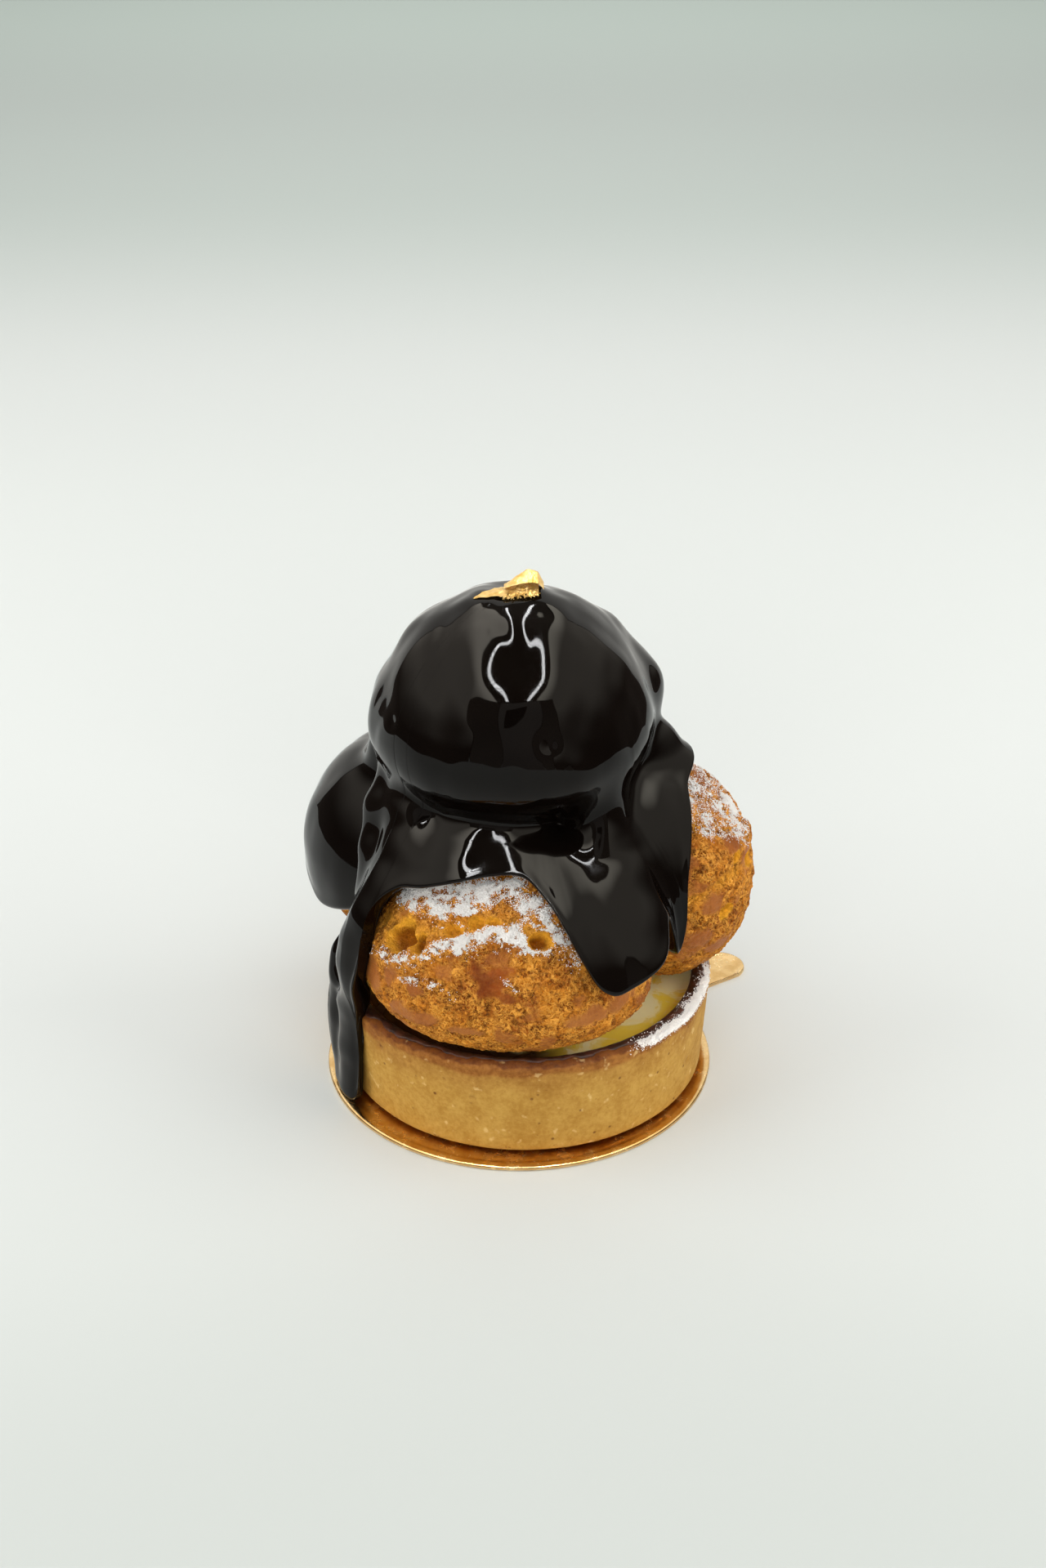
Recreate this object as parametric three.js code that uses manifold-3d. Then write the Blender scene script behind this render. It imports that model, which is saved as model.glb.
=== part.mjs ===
// A profiterole tower: four filled choux buns stacked on a small custard tart,
// dark chocolate sauce poured over them, gold leaf on top, on its gold card base.
// Millimetres, +Z up, +Y to the back. The origin is the middle of the card's underside.

import * as THREE from 'three';
import { mergeVertices } from 'three/addons/utils/BufferGeometryUtils.js';
import Module from 'manifold-3d';

const wasm = await Module();
wasm.setup();

// ---- driving dimensions ----

const gap = 0.3;                 // clearance kept between touching pieces

const card = { radius: 39.1, thickness: 1.0, tabAngle: 36.5, tabHalfWidth: 5.2, tabReach: 59.5, sides: 48 };

const tart = {
  centre: [1.0, 1.5],            // the shell stands a little off the card's middle
  outerRadius: 37.5,
  footRadius: 36.2,
  height: 22.5,                  // top of the rim above the table
  wall: 3.4,
  floor: 3.0,
  rimRound: 1.2,
  segments: 48,
};

const custard = { level: 19.6, segments: 40 };

// A bun is an egg-like body about its centre: half-widths along X and Y,
// height above and depth below the centre, tilt about Y in degrees, and the
// powers of its crown and base (2 is round, less is more pointed, more is squarer).
const buns = {
  front: { centre: [-2.0, -17.0, 32.5], halfX: 28.0, halfY: 21.5, up: 25.0, down: 13.5,
    tilt: 3, crown: 2.0, base: 2.0 },
  right: { centre: [27.5, 6.0, 42.5], halfX: 19.5, halfY: 21.0, up: 22.0, down: 24.0,
    tilt: -10, crown: 2.0, base: 2.0 },
  left: { centre: [-21.5, 18.0, 41.8], halfX: 20.3, halfY: 20.5, up: 21.4, down: 22.6,
    tilt: 0, crown: 1.85, base: 2.15 },
  top: { centre: [-1.4, 1.0, 77.4], halfX: 24.8, halfY: 23.5, up: 21.6, down: 13.5,
    tilt: 0, crown: 1.78, base: 2.2 },
};
const bunColumns = 24;
const bunRows = 12;
const lumpHeight = 0.5;          // low swellings of the baked crust

const sauce = {
  middle: [0, 0, 55],            // every ray from here meets the sauce once
  coat: 2.3,                     // thickness over the buns
  curtain: 3.4,                  // thickness where it hangs free
  lift: 0.9,                     // clearance over the buns and the tart
  reach: 66,                     // search distance, beyond the longest drip
  foot: card.thickness + 0.4,    // where the longest drip lands on the card
  edge: 0.09,                    // share of each column that rounds over at the hem
  columns: 72,
  outerRows: 20,
  innerRows: 10,
  softening: 2,                  // rounds of averaging with the neighbouring columns and rows
};

// A point on a drip down the outside of the tart, by bearing, radius, height and thickness.
function onTart(bearing, radius, height, thickness) {
  const angle = THREE.MathUtils.degToRad(bearing);
  const x = tart.centre[0] + radius * Math.cos(angle);
  const y = tart.centre[1] + radius * Math.sin(angle);
  return [x, y, height, thickness];
}

// Ropes of sauce: points x, y, z and radius, and how softly each melts into the coat.
const ropes = [
  { name: 'skirt left edge', melt: 4.0, points: [[-18, -6, 70, 4.0], [-20.5, -9.5, 63, 5.0],
    [-20.5, -13, 57, 5.4], [-23.5, -16, 51, 4.8], [-28, -18.5, 45, 4.0], [-31, -18.6, 40, 3.3],
    [-31.4, -18.2, 34.5, 3.4]] },
  { name: 'long drip', melt: 3.0, points: [[-31.2, -18.2, 35, 3.4], [-30.8, -18.4, 30.5, 2.8],
    onTart(204, 36.6, 23.5, 3.2), onTart(203, 36.8, 12, 3.0), onTart(204, 36.6, 2.6, 3.2)] },
  { name: 'drip left side', melt: 3.0, points: [[-35, -6, 31, 2.4], onTart(193, 36.8, 25, 2.9),
    onTart(192, 37.2, 15, 2.9), onTart(194, 37, 8, 2.8), onTart(197, 36.8, 2.4, 2.8)] },
  { name: 'drip right side', melt: 3.0, points: [[-31.5, -18, 30, 2.4],
    onTart(210, 36.4, 22, 2.8), onTart(210, 36.6, 12, 2.6), onTart(210, 36.6, 2.4, 3.0)] },
  { name: 'web to left bun', melt: 4.0, points: [[-23, -2, 68, 3.2], [-26, -5, 61, 3.6],
    [-27.5, -8, 54, 3.2], [-29, -11, 46, 2.6]] },
  { name: 'tongue edge', melt: 7.0, points: [[15, -11, 66, 4.2], [16, -14.4, 59, 4.4],
    [18.4, -18, 53, 4.6], [22, -22.6, 46, 4.6], [24, -26.5, 41, 4.4]] },
  { name: 'saddle to right bun', melt: 4.0, points: [[17, 6, 74, 4.2], [25.5, 6, 69.4, 5.2],
    [30.6, 5, 63.6, 5.0]] },
  { name: 'saddle to left bun', melt: 5.0, points: [[-10, 6, 70, 9.0], [-22.6, 12, 65.4, 7.2]] },
  { name: 'back curtain', melt: 5.0, points: [[-6, 17, 68, 5.0], [0, 21, 60, 5.5],
    [3, 23, 52, 5.0], [4, 23.5, 45, 4.2]] },
  { name: 'shoulder bulge', melt: 2.5, points: [[13, 9, 87, 8.2], [19, 9, 79.5, 9.0]] },
  { name: 'crown', melt: 6.0, points: [[-3.6, -0.5, 85.8, 17.6], [2.8, -0.5, 85.8, 17.6]] },
  { name: 'peak', melt: 4.0, points: [[0, 1, 95, 7.0], [1.2, 2.0, 102.4, 2.4]] },
];

// Where the sauce gathers: in front of the top bun, over the tongue and over the right bun.
const pools = {
  front: { centre: [-7, -13, 36], halfX: 23, halfY: 19.8, up: 30, down: 14,
    tilt: 3, crown: 2, base: 2, melt: 4 },
  tongue: { centre: [4, -18, 33], halfX: 26, halfY: 21.5, up: 24.5, down: 14,
    tilt: 3, crown: 2, base: 2, melt: 3 },
  right: { centre: [23.5, -1, 46], halfX: 13, halfY: 16, up: 21.5, down: 14,
    tilt: 0, crown: 2, base: 2, melt: 3 },
};

// The sauce's hem, seen from its middle: bearing and polar angle in degrees.
const hem = [
  [-180, 122], [-176, 122.4], [-173, 126], [-172, 133], [-171, 140], [-168, 144.4],
  [-157, 145.6], [-150, 145.4], [-148.4, 141], [-148.2, 134], [-145, 125], [-141.6, 116],
  [-140.9, 108], [-140.2, 99.5], [-135.1, 94], [-126.3, 91], [-113.6, 86.8], [-101, 84],
  [-88.3, 84.4], [-81, 90], [-77.4, 94.4], [-72.3, 104], [-67, 112.2], [-62.5, 114.4],
  [-57.5, 113.2], [-51, 110], [-44, 106], [-38.5, 104], [-34, 112], [-30.6, 119.4],
  [-28.4, 114], [-27.4, 107], [-25.6, 99], [-22.6, 93], [-19, 87.6], [-14, 82],
  [-8, 76.8], [0, 73], [8, 71], [17, 71], [27, 74], [40, 84], [52, 89],
  [64, 88], [74, 97], [82, 108], [90, 105], [98, 92], [112, 88],
  [126, 92], [138, 104], [144, 112], [151, 108], [160, 114], [169, 121], [180, 122],
];

const leaf = {
  length: 13.0,
  width: 5.2,
  thickness: 0.5,
  centre: [-2.0, -1.4],
  turn: 14,
  curl: 2.4,                     // how far its right half stands up at the back
  columns: 10,
  rows: 5,
};

// ---- small vector helpers ----

const clamp01 = (value) => Math.min(1, Math.max(0, value));

function distance(a, b) {
  return Math.hypot(a[0] - b[0], a[1] - b[1], a[2] - b[2]);
}

// Lower of two distances, melted together over the width k.
function melt(a, b, k) {
  const h = clamp01(0.5 + 0.5 * (b - a) / k);
  return b * (1 - h) + a * h - k * h * (1 - h);
}

function directionOf(bearing, polar) {
  return [Math.sin(polar) * Math.cos(bearing), Math.sin(polar) * Math.sin(bearing), Math.cos(polar)];
}

function pointAlong(origin, direction, length) {
  return origin.map((value, axis) => value + direction[axis] * length);
}

// ---- bun shapes ----

// Distance from a bun's centre to its surface along a unit direction, grown by extra.
function bunRadius(bun, direction, extra = 0) {
  const tilt = THREE.MathUtils.degToRad(bun.tilt);
  const x = direction[0] * Math.cos(tilt) - direction[2] * Math.sin(tilt);
  const z = direction[0] * Math.sin(tilt) + direction[2] * Math.cos(tilt);
  const flat = Math.hypot(x / (bun.halfX + extra), direction[1] / (bun.halfY + extra));
  const power = z > 0 ? bun.crown : bun.base;
  const tall = Math.abs(z) / ((z > 0 ? bun.up : bun.down) + extra);
  return (flat ** power + tall ** power) ** (-1 / power);
}

function bunDistance(bun, point, extra) {
  const length = Math.max(distance(point, bun.centre), 1e-6);
  const direction = point.map((value, axis) => (value - bun.centre[axis]) / length);
  return (length - bunRadius(bun, direction, extra)) * 0.92;
}

// The flat contacts where a bun presses on its neighbours: normal and distance from its centre.
function contactsOf(bun) {
  const contacts = [];
  for (const other of Object.values(buns)) {
    if (other === bun) continue;
    const apart = distance(bun.centre, other.centre);
    const normal = other.centre.map((value, axis) => (value - bun.centre[axis]) / apart);
    const own = bunRadius(bun, normal);
    const theirs = bunRadius(other, normal.map((value) => -value));
    const overlap = own + theirs - apart;
    if (overlap > 0) contacts.push({ normal, reach: own - overlap / 2 - gap / 2 });
  }
  return contacts;
}

// A closed grid of bearings and polar angles around a middle point.
function ballGeometry(middle, columns, rows, radiusAt) {
  const vertices = [];
  for (let row = 1; row < rows; row += 1) {
    for (let column = 0; column < columns; column += 1) {
      const direction = directionOf((2 * Math.PI * column) / columns, (Math.PI * row) / rows);
      vertices.push(...pointAlong(middle, direction, radiusAt(direction)));
    }
  }
  const north = vertices.length / 3;
  vertices.push(...pointAlong(middle, [0, 0, 1], radiusAt([0, 0, 1])));
  vertices.push(...pointAlong(middle, [0, 0, -1], radiusAt([0, 0, -1])));
  const faces = [];
  for (let column = 0; column < columns; column += 1) {
    const next = (column + 1) % columns;
    const last = (rows - 2) * columns;
    faces.push(north, column, next, north + 1, last + next, last + column);
    for (let row = 0; row < rows - 2; row += 1) {
      const a = row * columns;
      const b = a + columns;
      faces.push(a + column, b + column, b + next, a + column, b + next, a + next);
    }
  }
  return geometryFrom(vertices, faces);
}

function bunGeometry(bun, extra = 0) {
  const contacts = contactsOf(bun);
  const radiusAt = (direction) => {
    const [x, y, z] = direction;
    const lumps = Math.sin(4.1 * x + 1.3) * Math.sin(3.7 * y - 0.6) * Math.cos(3.3 * z + 0.4);
    let radius = bunRadius(bun, direction, extra) - lumpHeight * (0.5 + 0.5 * lumps);
    for (const { normal, reach } of contacts) {
      const facing = x * normal[0] + y * normal[1] + z * normal[2];
      if (facing > 0.05) radius = Math.min(radius, (reach + extra) / facing);
    }
    return radius;
  };
  return ballGeometry(bun.centre, bunColumns, bunRows, radiusAt);
}

// ---- joining and cutting ----

function geometryFrom(vertices, faces) {
  const geometry = new THREE.BufferGeometry();
  geometry.setAttribute('position', new THREE.Float32BufferAttribute(vertices, 3));
  geometry.setIndex(faces);
  return geometry;
}

function solidOf(geometry) {
  const bare = geometry.clone();
  bare.deleteAttribute('normal');
  bare.deleteAttribute('uv');
  const merged = mergeVertices(bare, 1e-4);
  return new wasm.Manifold(new wasm.Mesh({
    numProp: 3,
    vertProperties: new Float32Array(merged.attributes.position.array),
    triVerts: new Uint32Array(merged.index.array),
  }));
}

// What is left of a geometry after others are cut from it; crumbs cut loose are dropped.
function cutGeometry(geometry, tools) {
  let solid = solidOf(geometry);
  for (const tool of tools) solid = solid.subtract(solidOf(tool));
  const largest = solid.decompose().reduce((a, b) => (a.volume() > b.volume() ? a : b));
  const mesh = largest.getMesh();
  return geometryFrom(mesh.vertProperties, new THREE.Uint32BufferAttribute(mesh.triVerts, 1));
}

// A turned body on the tart's axis, from a profile of radius and height pairs.
function turned(profile, segments) {
  const points = profile.map(([radius, height]) => new THREE.Vector2(radius, height));
  const geometry = new THREE.LatheGeometry(points, segments);
  geometry.rotateX(Math.PI / 2);
  geometry.translate(tart.centre[0], tart.centre[1], 0);
  return geometry;
}

// ---- card, tart and custard ----

function cardGeometry() {
  const { radius, thickness, tabAngle, tabHalfWidth, tabReach, sides } = card;
  const rim = 0.25;
  const root = Math.asin(tabHalfWidth / radius);
  const tabMiddle = tabReach - tabHalfWidth;
  const outline = new THREE.Shape();
  outline.absarc(0, 0, radius - rim, root, 2 * Math.PI - root, false);
  outline.absarc(tabMiddle, 0, tabHalfWidth - rim, -Math.PI / 2, Math.PI / 2, false);
  outline.closePath();
  const geometry = new THREE.ExtrudeGeometry(outline, {
    depth: thickness - 2 * rim,
    curveSegments: sides / 2,
    bevelSize: rim,
    bevelThickness: rim,
    bevelSegments: 1,
  });
  geometry.translate(0, 0, rim);
  geometry.rotateZ(THREE.MathUtils.degToRad(tabAngle));
  return geometry;
}

// Outer profile of the tart wall: it leans out a little and ends in a rounded rim.
function tartProfile(grow) {
  const base = card.thickness + gap - grow;
  const { outerRadius, footRadius, height, wall, floor, rimRound } = tart;
  const inner = outerRadius - wall;
  const top = height + grow;
  return [
    [0, base],
    [footRadius - 1.0 + grow, base],
    [footRadius + grow, base + 1.0],
    [(footRadius + outerRadius) / 2 + grow, base + (top - base) * 0.5],
    [outerRadius + grow, top - rimRound * 1.6],
    [outerRadius - rimRound * 0.5 + grow, top - rimRound * 0.35],
    [outerRadius - wall / 2, top],
    [inner + rimRound * 0.5 - grow, top - rimRound * 0.35],
    [inner - grow, top - rimRound * 1.6],
    [inner - 0.8 - grow, base + floor + 1.5 + 2 * grow],
    [inner - 2.2 - grow, base + floor + 2 * grow],
    [0, base + floor + 2 * grow],
  ];
}

function custardGeometry() {
  const inner = tart.outerRadius - tart.wall - gap;
  const base = card.thickness + gap + tart.floor + gap;
  const profile = [
    [0, base],
    [inner - 2.5, base],
    [inner - 0.9, base + 1.8],
    [inner - 0.1, custard.level - 0.6],
    [inner - 1.2, custard.level - 1.0],
    [inner - 3.0, custard.level - 0.3],
    [0, custard.level],
  ];
  const bowls = ['front', 'right', 'left'].map((name) => bunGeometry(buns[name], gap));
  return cutGeometry(turned(profile, custard.segments), bowls);
}

// ---- chocolate sauce ----

function ropeDistance(point, start, end) {
  const run = [0, 1, 2].map((axis) => end[axis] - start[axis]);
  const from = [0, 1, 2].map((axis) => point[axis] - start[axis]);
  const dot = run[0] * from[0] + run[1] * from[1] + run[2] * from[2];
  const share = clamp01(dot / (run[0] ** 2 + run[1] ** 2 + run[2] ** 2));
  const away = Math.hypot(...from.map((value, axis) => value - run[axis] * share));
  return away - (start[3] * (1 - share) + end[3] * share);
}

// Outside of the sauce: buns grown by the coat, with the ropes melted on.
function sauceDistance(point) {
  const { coat } = sauce;
  let lower = bunDistance(buns.front, point, coat);
  let right = bunDistance(buns.right, point, coat);
  lower = melt(lower, bunDistance(pools.front, point, 0), pools.front.melt);
  lower = melt(lower, bunDistance(pools.tongue, point, 0), pools.tongue.melt);
  right = melt(right, bunDistance(pools.right, point, 0), pools.right.melt);
  lower = melt(lower, bunDistance(buns.left, point, coat), 5);
  lower = melt(lower, right, 5);
  let result = melt(bunDistance(buns.top, point, coat), lower, 5);
  for (const { melt: width, points } of ropes) {
    let rope = 1e3;
    for (let index = 1; index < points.length; index += 1) {
      rope = melt(rope, ropeDistance(point, points[index - 1], points[index]), 1.5);
    }
    result = melt(result, rope, width);
  }
  return result;
}

// What the sauce lies on: the buns, and the tart as a plain drum.
function supportDistance(point) {
  const { lift } = sauce;
  let result = 1e3;
  for (const bun of Object.values(buns)) result = melt(result, bunDistance(bun, point, lift), 1.5);
  const out = Math.hypot(point[0] - tart.centre[0], point[1] - tart.centre[1]) - tart.outerRadius - lift;
  const above = point[2] - tart.height - lift;
  const drum = Math.min(Math.max(out, above), 0) + Math.hypot(Math.max(out, 0), Math.max(above, 0));
  return Math.min(result, drum);
}

// Farthest point along a ray that is inside the shape, found by stepping in from outside.
function outermost(distanceAt, direction) {
  let length = sauce.reach;
  let step = distanceAt(pointAlong(sauce.middle, direction, length));
  while (step > 0.01 && length > 0) {
    length -= Math.max(step * 0.6, 0.02);
    step = distanceAt(pointAlong(sauce.middle, direction, Math.max(length, 0)));
  }
  return Math.max(length, 0);
}

// Distance to the outside of the sauce along a ray, stopping where it lands on the card.
function outerRadius(direction) {
  const radius = outermost(sauceDistance, direction);
  if (direction[2] >= 0) return radius;
  return Math.min(radius, (sauce.foot - sauce.middle[2]) / direction[2]);
}

// Each value averaged with its neighbours around the column ring and along the rows.
function soften(grid) {
  const { columns, softening } = sauce;
  let result = grid;
  for (let round = 0; round < softening; round += 1) {
    const before = result;
    const rowAt = (row) => before[Math.min(Math.max(row, 0), before.length - 1)];
    result = before.map((line, row) => line.map((value, column) => {
      const sides = line[(column + 1) % columns] + line[(column + columns - 1) % columns];
      const ends = rowAt(row - 1)[column] + rowAt(row + 1)[column];
      return 0.5 * value + 0.125 * (sides + ends);
    }));
  }
  return result;
}

function sauceGeometry() {
  const { columns, outerRows, innerRows, middle, edge, curtain } = sauce;
  const points = hem.map(([bearing, polar]) => new THREE.Vector3(bearing, polar, 0));
  const curve = new THREE.CatmullRomCurve3(points, false, 'centripetal');
  curve.arcLengthDivisions = 2000;
  const rim = curve.getSpacedPoints(columns).slice(0, columns);
  const rayAt = (share, column) => {
    const bearing = THREE.MathUtils.degToRad(rim[column].x);
    return directionOf(bearing, share * THREE.MathUtils.degToRad(rim[column].y));
  };
  const ring = [...Array(columns).keys()];
  const outerShares = [...Array(outerRows).keys()].map((row) => (row + 1) / outerRows);
  const outer = soften(outerShares.map((share) => ring.map((column) => outerRadius(rayAt(share, column)))));
  const innerAt = (share, column, outside) => {
    const support = outermost(supportDistance, rayAt(share, column));
    return Math.min(Math.max(support, outside - curtain), outside - 0.5);
  };
  const vertices = [];
  outerShares.forEach((share, row) => ring.forEach((column) => {
    const outside = outer[row][column];
    const inside = innerAt(share, column, outside);
    const rounding = clamp01((share - 1 + edge) / edge);
    const radius = inside + (outside - inside) * (0.3 + 0.7 * Math.sqrt(1 - rounding ** 2));
    vertices.push(...pointAlong(middle, rayAt(share, column), radius));
  }));
  for (let row = innerRows; row >= 1; row -= 1) {
    const share = row / innerRows;
    const place = share * outerRows - 1;
    const below = Math.floor(place);
    const above = Math.min(below + 1, outerRows - 1);
    ring.forEach((column) => {
      const outside = THREE.MathUtils.lerp(outer[below][column], outer[above][column], place - below);
      vertices.push(...pointAlong(middle, rayAt(share, column), innerAt(share, column, outside)));
    });
  }
  const north = vertices.length / 3;
  const peak = outerRadius([0, 0, 1]);
  vertices.push(...pointAlong(middle, [0, 0, 1], peak));
  vertices.push(...pointAlong(middle, [0, 0, 1], innerAt(0, 0, peak)));
  const faces = [];
  const lines = outerRows + innerRows;
  const last = (lines - 1) * columns;
  for (let column = 0; column < columns; column += 1) {
    const next = (column + 1) % columns;
    faces.push(north, column, next, north + 1, last + next, last + column);
    for (let row = 0; row < lines - 1; row += 1) {
      const a = row * columns;
      const b = a + columns;
      faces.push(a + column, b + column, b + next, a + column, b + next, a + next);
    }
  }
  return geometryFrom(vertices, faces);
}

// ---- gold leaf ----

// Height of the sauce above the table, straight down at x and y.
function sauceTop(x, y) {
  let height = 112;
  while (sauceDistance([x, y, height]) > 0.01) height -= Math.max(sauceDistance([x, y, height]) * 0.6, 0.02);
  return height;
}

// A crumpled flake that lies on the crown: a wavy sheet with a ragged outline and a thin edge.
function leafGeometry() {
  const { length, width, thickness, centre, turn, curl, columns, rows } = leaf;
  const angle = THREE.MathUtils.degToRad(turn);
  const lay = (u, v, lift) => {
    const along = (u - 0.5) * length;
    const ragged = 0.75 + 0.25 * Math.sin(9 * u + 1) * Math.cos(5 * u);
    const across = (v - 0.5) * width * ragged * Math.sqrt(Math.max(0.12, 4 * u * (1 - u)));
    const x = centre[0] + along * Math.cos(angle) - across * Math.sin(angle);
    const y = centre[1] + along * Math.sin(angle) + across * Math.cos(angle);
    const crumple = 0.45 * (1 + Math.sin(7 * u + 3 * v)) + 0.3 * (1 + Math.cos(11 * v - 4 * u));
    const curled = curl * clamp01((u - 0.4) / 0.3) * v;
    return [x, y, sauceTop(x, y) + gap + crumple + curled + lift];
  };
  const vertices = [];
  const side = (columns + 1) * (rows + 1);
  for (const lift of [thickness, 0]) {
    for (let row = 0; row <= rows; row += 1) {
      for (let column = 0; column <= columns; column += 1) {
        vertices.push(...lay(column / columns, row / rows, lift));
      }
    }
  }
  const at = (column, row) => row * (columns + 1) + column;
  const faces = [];
  const quad = (a, b, c, d) => faces.push(a, b, c, a, c, d);
  for (let row = 0; row < rows; row += 1) {
    for (let column = 0; column < columns; column += 1) {
      const corners = [at(column, row), at(column + 1, row), at(column + 1, row + 1), at(column, row + 1)];
      quad(...corners);
      quad(...corners.reverse().map((corner) => corner + side));
    }
  }
  for (let column = 0; column < columns; column += 1) {
    quad(at(column + 1, 0), at(column, 0), at(column, 0) + side, at(column + 1, 0) + side);
    quad(at(column, rows), at(column + 1, rows), at(column + 1, rows) + side, at(column, rows) + side);
  }
  for (let row = 0; row < rows; row += 1) {
    quad(at(0, row), at(0, row + 1), at(0, row + 1) + side, at(0, row) + side);
    quad(at(columns, row + 1), at(columns, row), at(columns, row) + side, at(columns, row + 1) + side);
  }
  return geometryFrom(vertices, faces);
}

// ---- finishes and assembly ----

const finishes = {
  goldCard: { color: 0xd9a441, roughness: 0.25, metalness: 1.0 },
  shortcrust: { color: 0xc39a5a, roughness: 0.8, metalness: 0.0 },
  custard: { color: 0xe9dfa8, roughness: 0.35, metalness: 0.0 },
  choux: { color: 0xc08038, roughness: 0.75, metalness: 0.0 },
  chocolate: { color: 0x1a0f0b, roughness: 0.08, metalness: 0.0 },
  goldLeaf: { color: 0xe8b848, roughness: 0.3, metalness: 1.0 },
};

function piece(name, geometry, finish) {
  geometry.computeVertexNormals();
  const mesh = new THREE.Mesh(geometry, new THREE.MeshStandardMaterial(finishes[finish]));
  mesh.name = name;
  return mesh;
}

const profiterole = new THREE.Group();
profiterole.add(piece('gold_card', cardGeometry(), 'goldCard'));
profiterole.add(piece('tart_shell', turned(tartProfile(0), tart.segments), 'shortcrust'));
profiterole.add(piece('custard_filling', custardGeometry(), 'custard'));
for (const [name, bun] of Object.entries(buns)) {
  const body = cutGeometry(bunGeometry(bun), [turned(tartProfile(gap), tart.segments)]);
  profiterole.add(piece(`choux_${name}`, body, 'choux'));
}
const drum = turned([...tartProfile(gap).slice(0, 7), [0, tart.height + gap]], tart.segments);
const beds = Object.values(buns).map((bun) => bunGeometry(bun, gap));
const trimmedSauce = cutGeometry(sauceGeometry(), [drum, ...beds]);
profiterole.add(piece('chocolate_glaze', trimmedSauce, 'chocolate'));
profiterole.add(piece('gold_leaf', leafGeometry(), 'goldLeaf'));

export default profiterole;
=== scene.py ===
import math

import bpy
import numpy as np
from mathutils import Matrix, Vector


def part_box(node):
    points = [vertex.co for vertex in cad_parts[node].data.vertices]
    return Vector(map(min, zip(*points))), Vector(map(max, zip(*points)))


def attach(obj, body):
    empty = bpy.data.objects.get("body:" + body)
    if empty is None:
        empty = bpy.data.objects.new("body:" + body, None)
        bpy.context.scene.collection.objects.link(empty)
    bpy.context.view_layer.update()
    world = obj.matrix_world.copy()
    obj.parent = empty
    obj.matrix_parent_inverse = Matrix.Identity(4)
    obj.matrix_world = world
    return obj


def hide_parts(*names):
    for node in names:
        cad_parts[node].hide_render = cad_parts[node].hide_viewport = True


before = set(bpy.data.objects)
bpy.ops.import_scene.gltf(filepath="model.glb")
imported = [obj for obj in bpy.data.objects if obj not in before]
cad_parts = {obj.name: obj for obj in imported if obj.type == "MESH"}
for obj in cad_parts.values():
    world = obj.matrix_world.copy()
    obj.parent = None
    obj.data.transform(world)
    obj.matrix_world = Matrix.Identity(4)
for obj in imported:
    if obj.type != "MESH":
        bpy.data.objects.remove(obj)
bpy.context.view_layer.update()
print("frame loaded,", len(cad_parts), "nodes")

mm = 0.001
tau = 2 * math.pi


# camera

cameraSetup = {"place": (0.0008, -0.41564, 0.29165), "tiltDown": 28.77, "lens": 56.28}

cameraData = bpy.data.cameras.new("camera")
cameraData.lens = cameraSetup["lens"]
cameraData.sensor_width = 36
cameraData.clip_start = 0.01
camera = bpy.data.objects.new("camera", cameraData)
camera.location = cameraSetup["place"]
camera.rotation_euler = (math.radians(90 - cameraSetup["tiltDown"]), 0, 0)
bpy.context.collection.objects.link(camera)
bpy.context.scene.camera = camera
bpy.context.scene.view_settings.view_transform = "Standard"


# sizes shared by the pieces, in millimetres

tart = {
    "centre": np.array([1.0, 1.5]),
    "outer": 37.5,
    "foot": 36.2,
    "wall": 3.4,
    "floor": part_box("tart_shell")[0][2] / mm,
    "top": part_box("tart_shell")[1][2] / mm,
}
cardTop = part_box("gold_card")[1][2] / mm

# each bun: half-widths, height over and depth under its centre, tilt about Y in degrees,
# and the powers of its crown and base (2 is round, less is more pointed, more is squarer)
buns = {
    "front": {"centre": (-2.0, -17.0, 32.5), "half": (28.0, 21.5), "up": 25.0, "down": 13.5,
              "tilt": 3, "crown": 2.0, "base": 2.0},
    "right": {"centre": (27.5, 6.0, 42.5), "half": (19.5, 21.0), "up": 22.0, "down": 24.0,
              "tilt": -10, "crown": 2.0, "base": 2.0},
    "left": {"centre": (-21.5, 18.0, 41.8), "half": (20.3, 20.5), "up": 21.4, "down": 22.6,
             "tilt": 0, "crown": 1.85, "base": 2.15},
    "top": {"centre": (-1.4, 1.0, 77.4), "half": (24.8, 23.5), "up": 21.6, "down": 13.5,
            "tilt": 0, "crown": 1.78, "base": 2.2},
}


# arrays: noise, distances, grids

def latticeValues(cells, seed):
    # one repeatable number from 0 to 1 for each whole-number cell
    with np.errstate(over="ignore"):
        mixed = (cells[..., 0].astype(np.uint32) * np.uint32(374761393)
                 + cells[..., 1].astype(np.uint32) * np.uint32(668265263)
                 + cells[..., 2].astype(np.uint32) * np.uint32(2246822519)
                 + np.uint32(seed) * np.uint32(3266489917))
        mixed = (mixed ^ (mixed >> np.uint32(13))) * np.uint32(1274126177)
        mixed = (mixed ^ (mixed >> np.uint32(16))) * np.uint32(2654435761)
        mixed = mixed ^ (mixed >> np.uint32(15))
    return mixed.astype(np.float64) / 4294967295.0


def softNoise(points, size, seed):
    # lattice values of that cell size blended by smooth steps, from -1 to 1
    scaled = points / size + 101.3
    base = np.floor(scaled).astype(np.int64)
    part = scaled - base
    part = part * part * (3 - 2 * part)
    total = 0
    for dx in (0, 1):
        for dy in (0, 1):
            for dz in (0, 1):
                weight = (np.where(dx, part[..., 0], 1 - part[..., 0])
                          * np.where(dy, part[..., 1], 1 - part[..., 1])
                          * np.where(dz, part[..., 2], 1 - part[..., 2]))
                total = total + weight * latticeValues(base + np.array([dx, dy, dz]), seed)
    return total * 2 - 1


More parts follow.
